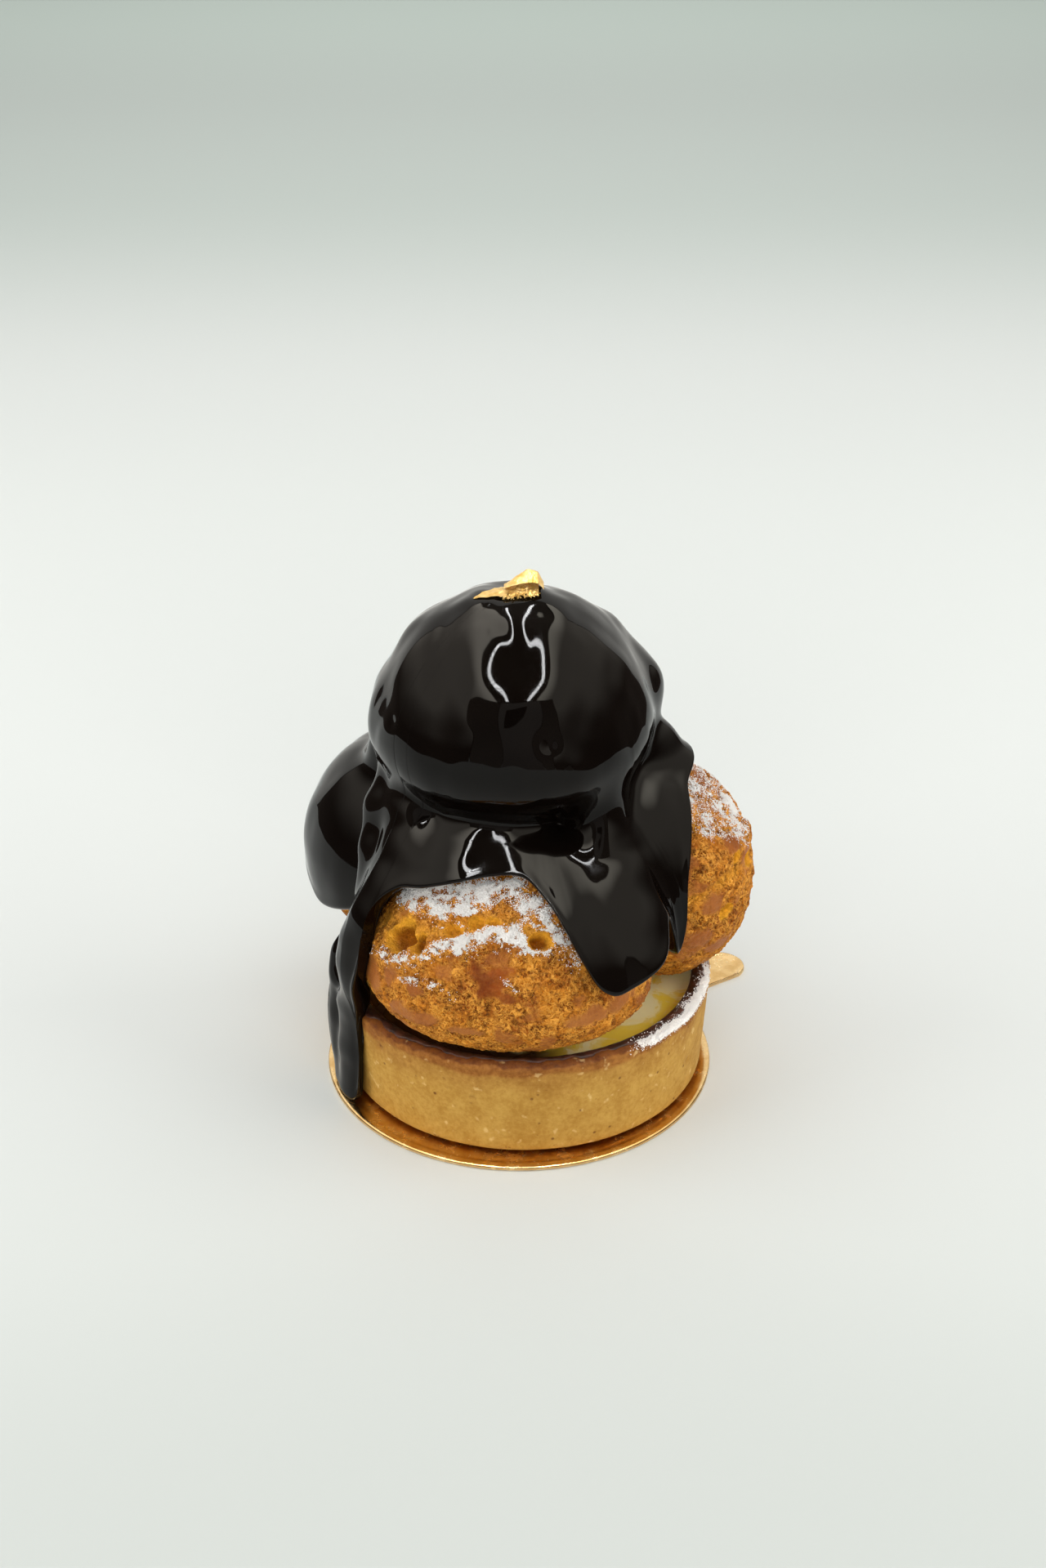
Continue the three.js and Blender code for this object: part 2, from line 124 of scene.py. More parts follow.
def fractalNoise(points, size, octaves, seed):
    # soft noise summed over sizes that halve, each half as strong, from -1 to 1
    total = 0
    strength = 1.0
    reach = 0.0
    for octave in range(octaves):
        total = total + strength * softNoise(points, size / 2 ** octave, seed + 17 * octave)
        reach += strength
        strength *= 0.5
    return total / reach


def cellNoise(points, size, seed):
    # distances to the nearest and second nearest of one random point in each cell, in cells
    scaled = points / size + 57.7
    base = np.floor(scaled).astype(np.int64)
    near = np.full(points.shape[:-1], 9.0)
    second = near.copy()
    for dx in (-1, 0, 1):
        for dy in (-1, 0, 1):
            for dz in (-1, 0, 1):
                cell = base + np.array([dx, dy, dz])
                jitter = np.stack([latticeValues(cell, seed + axis) for axis in range(3)], -1)
                away = np.linalg.norm(cell + jitter - scaled, axis=-1)
                second = np.minimum(second, np.maximum(near, away))
                near = np.minimum(near, away)
    return near, second


def smoothStep(low, high, value):
    # 0 up to low, 1 from high on, and a smooth S curve between
    share = np.clip((value - low) / (high - low), 0, 1)
    return share * share * (3 - 2 * share)


def meltTogether(a, b, width):
    # the lower of two distances, rounded where they meet over that width
    share = np.clip(0.5 + 0.5 * (b - a) / width, 0, 1)
    return b * (1 - share) + a * share - width * share * (1 - share)


def directions(bearing, polar):
    # unit vectors from a bearing about Z and an angle from straight up, both in radians
    return np.stack([np.sin(polar) * np.cos(bearing), np.sin(polar) * np.sin(bearing),
                     np.cos(polar) * np.ones_like(bearing)], -1)


def towards(bearing, rise):
    # unit direction from a bearing and a rise over the horizon, in degrees
    return directions(np.radians(np.asarray(bearing, float)), np.radians(90 - np.asarray(rise, float)))


def gridQuads(rows, columns, wrap):
    # corners of the quads of a grid of points, row by row, joined around if wrap
    row = np.arange(rows - 1)[:, None]
    column = np.arange(columns if wrap else columns - 1)[None, :]
    after = (column + 1) % columns
    return np.stack([row * columns + column, (row + 1) * columns + column,
                     (row + 1) * columns + after, row * columns + after], -1).reshape(-1, 4)


def makeMesh(name, points, quads, triangles=None, smooth=True):
    # points in millimetres, faces as whole arrays
    triangles = np.zeros((0, 3), int) if triangles is None else np.asarray(triangles)
    corners = np.concatenate([quads.ravel(), triangles.ravel()]).astype(np.int32)
    counts = np.concatenate([np.full(len(quads), 4), np.full(len(triangles), 3)]).astype(np.int32)
    starts = np.concatenate([[0], np.cumsum(counts)[:-1]]).astype(np.int32)
    mesh = bpy.data.meshes.new(name)
    mesh.vertices.add(len(points))
    mesh.vertices.foreach_set("co", (points * mm).astype(np.float32).ravel())
    mesh.loops.add(len(corners))
    mesh.loops.foreach_set("vertex_index", corners)
    mesh.polygons.add(len(counts))
    mesh.polygons.foreach_set("loop_start", starts)
    mesh.polygons.foreach_set("use_smooth", np.full(len(counts), smooth))
    mesh.update(calc_edges=True)
    mesh.validate()
    piece = bpy.data.objects.new(name, mesh)
    bpy.context.collection.objects.link(piece)
    return piece


def closedShell(name, grid, north, south):
    # a ring grid from top to bottom, closed by one point at each pole
    rows, columns = grid.shape[:2]
    points = np.concatenate([grid.reshape(-1, 3), [north], [south]])
    top, bottom = rows * columns, rows * columns + 1
    ring = np.arange(columns)
    after = (ring + 1) % columns
    last = (rows - 1) * columns
    caps = np.concatenate([np.stack([np.full(columns, top), ring, after], -1),
                           np.stack([np.full(columns, bottom), last + after, last + ring], -1)])
    return makeMesh(name, points, gridQuads(rows, columns, True), caps)


def addField(piece, name, values):
    # one number for each vertex, which the materials read by name
    attribute = piece.data.attributes.new(name, "FLOAT", "POINT")
    attribute.data.foreach_set("value", np.asarray(values, np.float32).ravel())


def scatterGrains(name, places, normals, sizes, seed):
    # one small eight-sided lump at each place, squashed and turned at random, as one mesh
    random = np.random.default_rng(seed)
    count = len(places)
    lump = np.array([[1, 0, 0], [-1, 0, 0], [0, 1, 0], [0, -1, 0], [0, 0, 1], [0, 0, -1]], float)
    faces = np.array([[0, 2, 4], [2, 1, 4], [1, 3, 4], [3, 0, 4], [2, 0, 5], [1, 2, 5], [3, 1, 5], [0, 3, 5]])
    stretch = random.uniform(0.55, 1.25, (count, 6, 1))
    axis = random.normal(size=(count, 3))
    axis /= np.linalg.norm(axis, axis=1, keepdims=True)
    side = np.cross(axis, random.normal(size=(count, 3)))
    side /= np.linalg.norm(side, axis=1, keepdims=True)
    turn = np.stack([side, np.cross(axis, side), axis], 1)
    local = np.einsum("ki,nij->nkj", lump, turn) * stretch
    sink = 0.2                              # share of its size that each lump sits down
    centres = places + normals * (sizes * (1 - sink))[:, None]
    points = centres[:, None, :] + local * sizes[:, None, None]
    triangles = (faces[None] + 6 * np.arange(count)[:, None, None]).reshape(-1, 3)
    return makeMesh(name, points.reshape(-1, 3), np.zeros((0, 4), int), triangles, smooth=False)


# node helpers

def newMaterial(name):
    material = bpy.data.materials.new(name)
    material.use_nodes = True
    tree = material.node_tree
    return material, tree, tree.nodes["Principled BSDF"]


def addNode(tree, kind, inputs=None, **settings):
    # inputs are constants or other nodes' outputs, by socket name or number
    node = tree.nodes.new(kind)
    for key, value in settings.items():
        setattr(node, key, value)
    for key, value in (inputs or {}).items():
        setInput(tree, node.inputs[key], value)
    return node


def setInput(tree, socket, value):
    # a link where the value is another node's output, and a plain value otherwise
    if isinstance(value, bpy.types.NodeSocket):
        tree.links.new(value, socket)
    elif isinstance(value, tuple) and socket.type == "RGBA" and len(value) == 3:
        socket.default_value = (*value, 1)
    else:
        socket.default_value = value


def fieldOf(tree, name):
    return addNode(tree, "ShaderNodeAttribute", attribute_name=name).outputs["Fac"]


def objectPlace(tree):
    return addNode(tree, "ShaderNodeTexCoord").outputs["Object"]


def noiseOf(tree, place, scale, detail=3, roughness=0.5, distortion=0.0):
    inputs = {"Vector": place, "Scale": scale, "Detail": detail, "Roughness": roughness,
              "Distortion": distortion}
    return addNode(tree, "ShaderNodeTexNoise", inputs).outputs["Fac"]


def cellsOf(tree, place, scale):
    # distance to the nearest of many scattered points
    inputs = {"Vector": place, "Scale": scale}
    return addNode(tree, "ShaderNodeTexVoronoi", inputs, feature="F1").outputs["Distance"]


def rampOf(tree, value, low, high, start=0.0, end=1.0):
    # a smooth climb from start to end as the value goes from low to high
    inputs = {"Value": value, "From Min": low, "From Max": high, "To Min": start, "To Max": end}
    return addNode(tree, "ShaderNodeMapRange", inputs, interpolation_type="SMOOTHSTEP").outputs["Result"]


def mathOf(tree, operation, a, b=0.0):
    return addNode(tree, "ShaderNodeMath", {0: a, 1: b}, operation=operation, use_clamp=False).outputs[0]


def mixOf(tree, factor, a, b):
    # colour a where the factor is 0, b where it is 1
    node = addNode(tree, "ShaderNodeMix", data_type="RGBA")
    setInput(tree, node.inputs[0], factor)
    setInput(tree, node.inputs[6], a)
    setInput(tree, node.inputs[7], b)
    return node.outputs[2]


def bumpOf(tree, height, strength, distance):
    inputs = {"Height": height, "Strength": strength, "Distance": distance}
    return addNode(tree, "ShaderNodeBump", inputs).outputs["Normal"]


def curlPattern(tree, place, scale):
    # curling lines: zero where either of two swirling noises crosses its middle
    curl = None
    for detail, spread in ((2, 0.9), (1, 1.4)):
        swirl = noiseOf(tree, place, scale * spread, detail, 0.5, 0.7)
        line = mathOf(tree, "ABSOLUTE", mathOf(tree, "SUBTRACT", swirl, 0.5))
        curl = line if curl is None else mathOf(tree, "MINIMUM", curl, line)
    return curl


def newGroup(name, inputs, outputs):
    group = bpy.data.node_groups.new(name, "ShaderNodeTree")
    for label, kind, value in inputs:
        socket = group.interface.new_socket(label, in_out="INPUT", socket_type=kind)
        if value is not None:
            socket.default_value = value
    for label, kind in outputs:
        group.interface.new_socket(label, in_out="OUTPUT", socket_type=kind)
    return group, group.nodes.new("NodeGroupInput"), group.nodes.new("NodeGroupOutput")


def useGroup(tree, group, inputs):
    node = tree.nodes.new("ShaderNodeGroup")
    node.node_tree = group
    for key, value in inputs.items():
        setInput(tree, node.inputs[key], value)
    return node


# shared effects

def bakedGrainGroup():
    # fine uneven grain of a baked surface: a tone from 0 to 1 and a height for bump
    group, start, end = newGroup("baked grain",
                                 [("Place", "NodeSocketVector", None), ("Scale", "NodeSocketFloat", 900.0),
                                  ("Clumping", "NodeSocketFloat", 0.5)],
                                 [("Tone", "NodeSocketFloat"), ("Height", "NodeSocketFloat")])
    place, scale, clumping = start.outputs["Place"], start.outputs["Scale"], start.outputs["Clumping"]
    fine = noiseOf(group, place, scale, 4, 0.65)
    coarse = noiseOf(group, place, mathOf(group, "MULTIPLY", scale, 0.22), 3, 0.6)
    cells = cellsOf(group, place, scale)
    tone = addNode(group, "ShaderNodeMix", {0: clumping, 2: fine, 3: coarse}, data_type="FLOAT").outputs[0]
    height = mathOf(group, "SUBTRACT", fine, mathOf(group, "MULTIPLY", cells, 0.6))
    group.links.new(rampOf(group, tone, 0.3, 0.7), end.inputs["Tone"])
    group.links.new(height, end.inputs["Height"])
    return group


def sugarDustGroup():
    # icing sugar lying on a surface: coverage breaks up into specks where the mask is thin
    group, start, end = newGroup("sugar dust",
                                 [("Place", "NodeSocketVector", None), ("Mask", "NodeSocketFloat", 0.0)],
                                 [("Cover", "NodeSocketFloat"), ("Height", "NodeSocketFloat")])
    place, mask = start.outputs["Place"], start.outputs["Mask"]
    specks = noiseOf(group, place, 2600.0, 3, 0.7)
    patches = noiseOf(group, place, 700.0, 4, 0.65)
    field = mathOf(group, "ADD", mathOf(group, "MULTIPLY", specks, 0.55),
                   mathOf(group, "MULTIPLY", patches, 0.45))
    edge = mathOf(group, "SUBTRACT", 0.80, mathOf(group, "MULTIPLY", mask, 0.60))
    cover = rampOf(group, mathOf(group, "SUBTRACT", field, edge), -0.02, 0.06)
    group.links.new(mathOf(group, "MULTIPLY", cover, rampOf(group, mask, 0.02, 0.15)), end.inputs["Cover"])
    group.links.new(specks, end.inputs["Height"])
    return group


bakedGrain = bakedGrainGroup()
sugarDust = sugarDustGroup()
sugarWhite = (0.93, 0.89, 0.83)


# materials

def chouxMaterial():
    # lacy crumb of pale threads round pores, with painted shade in the pores, the cracks and the low crumb,
    # painted highlights on the raised tips, smooth browned patches, open hollows whose painted shade deepens
    # to their bottoms, and sugar
    material, tree, shader = newMaterial("choux crust")
    shader.inputs["Specular IOR Level"].default_value = 0.10
    place = objectPlace(tree)
    patch, hollow, crumb = fieldOf(tree, "patch"), fieldOf(tree, "hollow"), fieldOf(tree, "crumb")
    grain = useGroup(tree, bakedGrain, {"Place": place, "Scale": 1500.0, "Clumping": 0.3})
    tint = noiseOf(tree, place, 120.0, 4, 0.6)
    cloud = noiseOf(tree, place, 330.0, 3, 0.6)
    curls = curlPattern(tree, place, 620.0)
    threads = curlPattern(tree, place, 1500.0)
    thread = mathOf(tree, "MAXIMUM", rampOf(tree, curls, 0.010, 0.045, 1.0, 0.0),
                    rampOf(tree, threads, 0.010, 0.050, 0.8, 0.0))
    golden = mixOf(tree, rampOf(tree, tint, 0.38, 0.62), (0.32, 0.064, 0.0030), (0.62, 0.195, 0.011))
    # painted shade: a darker tone laid where the crumb is low, which takes in its cracks
    paintedCreviceShade = mixOf(tree, rampOf(tree, tint, 0.3, 0.7), (0.105, 0.019, 0.0011), (0.26, 0.062, 0.0035))
    raised = mixOf(tree, rampOf(tree, crumb, 0.05, 0.50), paintedCreviceShade, golden)
    # painted shade in the pores
    pores = mathOf(tree, "MULTIPLY", rampOf(tree, curls, 0.06, 0.13), rampOf(tree, threads, 0.04, 0.10))
    withPaintedPoreShade = mixOf(tree, mathOf(tree, "MULTIPLY", pores, 0.85), raised, paintedCreviceShade)
    curled = mathOf(tree, "MULTIPLY", thread, rampOf(tree, cloud, 0.34, 0.58, 0.25, 0.85))
    threaded = mixOf(tree, curled, withPaintedPoreShade, (0.78, 0.345, 0.050))
    # painted highlight: a paler tone on the highest crumb tips
    paintedTipHighlight = mathOf(tree, "MULTIPLY", grain.outputs["Tone"], rampOf(tree, crumb, 0.45, 0.95, 0.0, 0.45))
    speckled = mixOf(tree, paintedTipHighlight, threaded, (0.88, 0.44, 0.080))
    brown = mixOf(tree, rampOf(tree, tint, 0.38, 0.62), (0.135, 0.020, 0.0014), (0.285, 0.056, 0.0035))
    mauve = mixOf(tree, rampOf(tree, tint, 0.3, 0.7), (0.275, 0.075, 0.015), (0.36, 0.128, 0.030))
    baked = mixOf(tree, fieldOf(tree, "glow"), mauve, brown)
    veined = mixOf(tree, mathOf(tree, "MULTIPLY", grain.outputs["Tone"], 0.17), baked, (0.62, 0.26, 0.05))
    crusted = mixOf(tree, patch, speckled, veined)
    # painted shade: the hollows' pale inside turns dark brown towards their deepest part
    holeWithPaintedShade = mixOf(tree, fieldOf(tree, "depth"), (0.90, 0.42, 0.030), (0.32, 0.092, 0.0015))
    opened = mixOf(tree, hollow, crusted, holeWithPaintedShade)
    dust = useGroup(tree, sugarDust, {"Place": place, "Mask": fieldOf(tree, "sugar")})
    dusted = mixOf(tree, dust.outputs["Cover"], opened, sugarWhite)
    setInput(tree, shader.inputs["Base Color"], dusted)
    gloss = mixOf(tree, patch, (0.66, 0.66, 0.66), (0.38, 0.38, 0.38))
    setInput(tree, shader.inputs["Roughness"], mixOf(tree, dust.outputs["Cover"], gloss, (0.95, 0.95, 0.95)))
    calm = mathOf(tree, "SUBTRACT", 1.0, mathOf(tree, "MULTIPLY", patch, 0.8))
    crumbs = mathOf(tree, "ADD", grain.outputs["Height"], mathOf(tree, "MULTIPLY", thread, 0.9))
    height = mathOf(tree, "MULTIPLY", mathOf(tree, "SUBTRACT", crumbs, pores), calm)
    powder = mathOf(tree, "MULTIPLY", dust.outputs["Cover"], mathOf(tree, "ADD", dust.outputs["Height"], 0.6))
    setInput(tree, shader.inputs["Normal"], bumpOf(tree, mathOf(tree, "ADD", height, powder), 0.9, 0.00025))
    return material


def chocolateMaterial():
    # near black and glossy, with faint smears and a few pinholes
    material, tree, shader = newMaterial("dark chocolate glaze")
    place = objectPlace(tree)
    smear = noiseOf(tree, place, 60.0, 3, 0.5)
    setInput(tree, shader.inputs["Base Color"],
             mixOf(tree, rampOf(tree, smear, 0.3, 0.7), (0.0016, 0.0009, 0.0006), (0.0028, 0.0017, 0.0012)))
    setInput(tree, shader.inputs["Roughness"], rampOf(tree, smear, 0.3, 0.7, 0.03, 0.07))
    pinhole = rampOf(tree, cellsOf(tree, place, 150.0), 0.015, 0.034, -2.0, 0.0)
    height = mathOf(tree, "ADD", noiseOf(tree, place, 110.0, 2, 0.4), pinhole)
    setInput(tree, shader.inputs["Normal"], bumpOf(tree, height, 0.04, 0.001))
    shader.inputs["IOR"].default_value = 1.27
    return material


def shortcrustMaterial():
    # pale crumb browned where the toast field is high and burnt at the rim; flecks, pinholes and pits with
    # painted shade, sugar
    material, tree, shader = newMaterial("baked shortcrust")
    shader.inputs["Specular IOR Level"].default_value = 0.2
    place = objectPlace(tree)
    grain = useGroup(tree, bakedGrain, {"Place": place, "Scale": 1100.0, "Clumping": 0.5})
    cloud = noiseOf(tree, place, 75.0, 4, 0.55)
    sway = mathOf(tree, "MULTIPLY", mathOf(tree, "SUBTRACT", cloud, 0.5), 0.8)
    toast = mathOf(tree, "ADD", fieldOf(tree, "toast"), sway)
    pale = mixOf(tree, grain.outputs["Tone"], (0.360, 0.175, 0.025), (0.510, 0.295, 0.062))
    browned = mixOf(tree, grain.outputs["Tone"], (0.175, 0.052, 0.006), (0.36, 0.145, 0.026))
    burnt = mixOf(tree, grain.outputs["Tone"], (0.075, 0.018, 0.003), (0.20, 0.060, 0.008))
    colour = mixOf(tree, rampOf(tree, toast, 0.15, 0.95), pale, browned)
    colour = mixOf(tree, rampOf(tree, toast, 1.05, 1.45), colour, burnt)
    flecks = rampOf(tree, noiseOf(tree, place, 420.0, 2, 0.5), 0.64, 0.74)
    colour = mixOf(tree, mathOf(tree, "MULTIPLY", flecks, 0.45), colour, (0.78, 0.54, 0.22))
    specks = rampOf(tree, noiseOf(tree, place, 650.0, 2, 0.6), 0.30, 0.24)
    colour = mixOf(tree, mathOf(tree, "MULTIPLY", specks, 0.55), colour, (0.20, 0.065, 0.010))
    # pinholes: small dips in the bump, darkened as painted shade
    holes = rampOf(tree, cellsOf(tree, place, 330.0), 0.05, 0.15, 1.0, 0.0)
    pinhole = mathOf(tree, "MULTIPLY", holes, rampOf(tree, cloud, 0.42, 0.55))
    colour = mixOf(tree, mathOf(tree, "MULTIPLY", pinhole, 0.8), colour, (0.12, 0.036, 0.007))
    # painted shade in the pits pressed into the wall
    colour = mixOf(tree, fieldOf(tree, "pit"), colour, (0.17, 0.055, 0.012))
    dust = useGroup(tree, sugarDust, {"Place": place, "Mask": fieldOf(tree, "sugar")})
    setInput(tree, shader.inputs["Base Color"], mixOf(tree, dust.outputs["Cover"], colour, sugarWhite))
    shader.inputs["Roughness"].default_value = 0.72
    height = mathOf(tree, "ADD", grain.outputs["Height"], dust.outputs["Cover"])
    height = mathOf(tree, "SUBTRACT", height, mathOf(tree, "MULTIPLY", pinhole, 2.0))
    setInput(tree, shader.inputs["Normal"], bumpOf(tree, height, 0.4, 0.00015))
    return material


def custardMaterial():
    # two yellows marbled together, and near black brown at the front edge: painted shade of the gap before
    # the bun, with some chocolate smear
    material, tree, shader = newMaterial("vanilla custard")
    place = objectPlace(tree)
    pool = noiseOf(tree, place, 62.0, 4, 0.6, 1.2)
    cream = mixOf(tree, rampOf(tree, pool, 0.42, 0.58), (0.97, 0.87, 0.46), (0.95, 0.70, 0.08))
    smearedAndShaded = mixOf(tree, fieldOf(tree, "smearAndShade"), cream, (0.060, 0.022, 0.008))
    setInput(tree, shader.inputs["Base Color"], smearedAndShaded)
    setInput(tree, shader.inputs["Roughness"], rampOf(tree, pool, 0.42, 0.58, 0.38, 0.12))
    setInput(tree, shader.inputs["Normal"], bumpOf(tree, noiseOf(tree, place, 240.0, 3, 0.5), 0.12, 0.0006))
    shader.inputs["Subsurface Weight"].default_value = 0.2
    shader.inputs["Subsurface Radius"].default_value = (0.002, 0.0015, 0.0006)
    shader.inputs["Subsurface Scale"].default_value = 1.0
    return material


def goldCardMaterial():
    # brushed foil, and bare board where the foil field is low
    material, tree, shader = newMaterial("gold board")
    place = objectPlace(tree)
    brushed = noiseOf(tree, place, 300.0, 3, 0.6)
    setInput(tree, shader.inputs["Base Color"],
             mixOf(tree, rampOf(tree, brushed, 0.3, 0.7), (0.68, 0.42, 0.16), (0.84, 0.60, 0.30)))
    foil = fieldOf(tree, "foil")
    setInput(tree, shader.inputs["Metallic"], foil)
    setInput(tree, shader.inputs["Roughness"], rampOf(tree, brushed, 0.3, 0.7, 0.16, 0.30))
    setInput(tree, shader.inputs["Normal"], bumpOf(tree, brushed, 0.05, 0.0003))
    return material


def goldLeafMaterial():
    # crumpled thin gold, partly metallic
    material, tree, shader = newMaterial("gold leaf")
    place = objectPlace(tree)
    crumple = noiseOf(tree, place, 900.0, 4, 0.6)
    setInput(tree, shader.inputs["Base Color"],
             mixOf(tree, rampOf(tree, crumple, 0.3, 0.7), (0.60, 0.35, 0.06), (0.80, 0.56, 0.22)))
    shader.inputs["Metallic"].default_value = 0.55
    setInput(tree, shader.inputs["Roughness"], rampOf(tree, crumple, 0.3, 0.7, 0.28, 0.48))
    setInput(tree, shader.inputs["Normal"], bumpOf(tree, crumple, 0.35, 0.0003))
    return material


def liningMaterial():
    # dull dark chocolate of uneven tone
    material, tree, shader = newMaterial("chocolate lining")
    place = objectPlace(tree)
    tone = noiseOf(tree, place, 500.0, 4, 0.6)
    setInput(tree, shader.inputs["Base Color"],
             mixOf(tree, rampOf(tree, tone, 0.35, 0.65), (0.016, 0.005, 0.003), (0.060, 0.018, 0.009)))
    shader.inputs["Roughness"].default_value = 0.42
    setInput(tree, shader.inputs["Normal"], bumpOf(tree, tone, 0.4, 0.0003))
    return material


def sugarMaterial():
    # rough white powder
    material, tree, shader = newMaterial("icing sugar")
    tone = noiseOf(tree, objectPlace(tree), 3000.0, 2, 0.5)
    setInput(tree, shader.inputs["Base Color"], mixOf(tree, tone, (0.80, 0.77, 0.73), (0.92, 0.90, 0.87)))
    shader.inputs["Roughness"].default_value = 0.95
    return material


materials = {
    "choux": chouxMaterial(),
    "chocolate": chocolateMaterial(),
    "shortcrust": shortcrustMaterial(),
    "custard": custardMaterial(),
    "goldCard": goldCardMaterial(),
    "goldLeaf": goldLeafMaterial(),
    "lining": liningMaterial(),
    "sugar": sugarMaterial(),
}


def finishPiece(piece, material, slot, *nodes):
    # a material, the body it rides on, its finish slot (not used), and the solids that it stands for
    piece.data.materials.append(materials[material])
    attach(piece, "root")
    if nodes:
        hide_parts(*nodes)


# choux buns

def bunRadius(bun, way, extra=0.0):
    # distance from a bun's centre to its surface along unit directions, grown by extra
    tilt = math.radians(bun["tilt"])
    x = way[..., 0] * math.cos(tilt) - way[..., 2] * math.sin(tilt)
    z = way[..., 0] * math.sin(tilt) + way[..., 2] * math.cos(tilt)
    flat = np.hypot(x / (bun["half"][0] + extra), way[..., 1] / (bun["half"][1] + extra))
    power = np.where(z > 0, bun["crown"], bun["base"])
    tall = np.abs(z) / (np.where(z > 0, bun["up"], bun["down"]) + extra)
    return (flat ** power + tall ** power + 1e-12) ** (-1 / power)


rayToNearest = 0.92                         # a bun's nearest point is a little nearer than along the ray


def bunDistance(bun, points, extra):
    # how far a point lies outside a bun, measured on the ray from its centre and shortened
    away = points - np.array(bun["centre"])
    length = np.linalg.norm(away, axis=-1) + 1e-9
    return (length - bunRadius(bun, away / length[..., None], extra)) * rayToNearest


def contactPlanes(bun):
    # where a bun presses flat on its neighbours: normal, and distance from its centre
    planes = []
    centre = np.array(bun["centre"])
    for other in buns.values():
        if other is bun:
            continue
        apart = np.array(other["centre"]) - centre
        length = np.linalg.norm(apart)
        normal = apart / length
        own, theirs = bunRadius(bun, normal), bunRadius(other, -normal)
        if own + theirs > length:
            planes.append((normal, own - (own + theirs - length) / 2 - 0.15))
    return planes


def strokeDistance(way, bun, stops):
    # distance in millimetres over the crust to a line through stops of bearing and rise
    line = towards(*np.array(stops, float).T)
    scale = bunRadius(bun, way)
    best = np.linalg.norm(way - line[0], axis=-1)
    for start, end in zip(line[:-1], line[1:]):
        run = end - start
        share = np.clip(((way - start) @ run) / (run @ run), 0, 1)
        best = np.minimum(best, np.linalg.norm(way - start - share[..., None] * run, axis=-1))
    return best * scale


def spotDistance(way, bun, bearing, rise, halfWide, halfTall):
    # 1 on the edge of an oval spot of those half sizes in millimetres, 0 in its middle
    middle = towards([bearing], [rise])[0]
    east = np.cross([0, 0, 1], middle)
    east /= np.linalg.norm(east)
    north = np.cross(middle, east)
    scale = bunRadius(bun, way)
    across, along = (way @ east) * scale / halfWide, (way @ north) * scale / halfTall
    behind = (way @ middle) < 0.2
    return np.where(behind, 9.0, np.hypot(across, along))


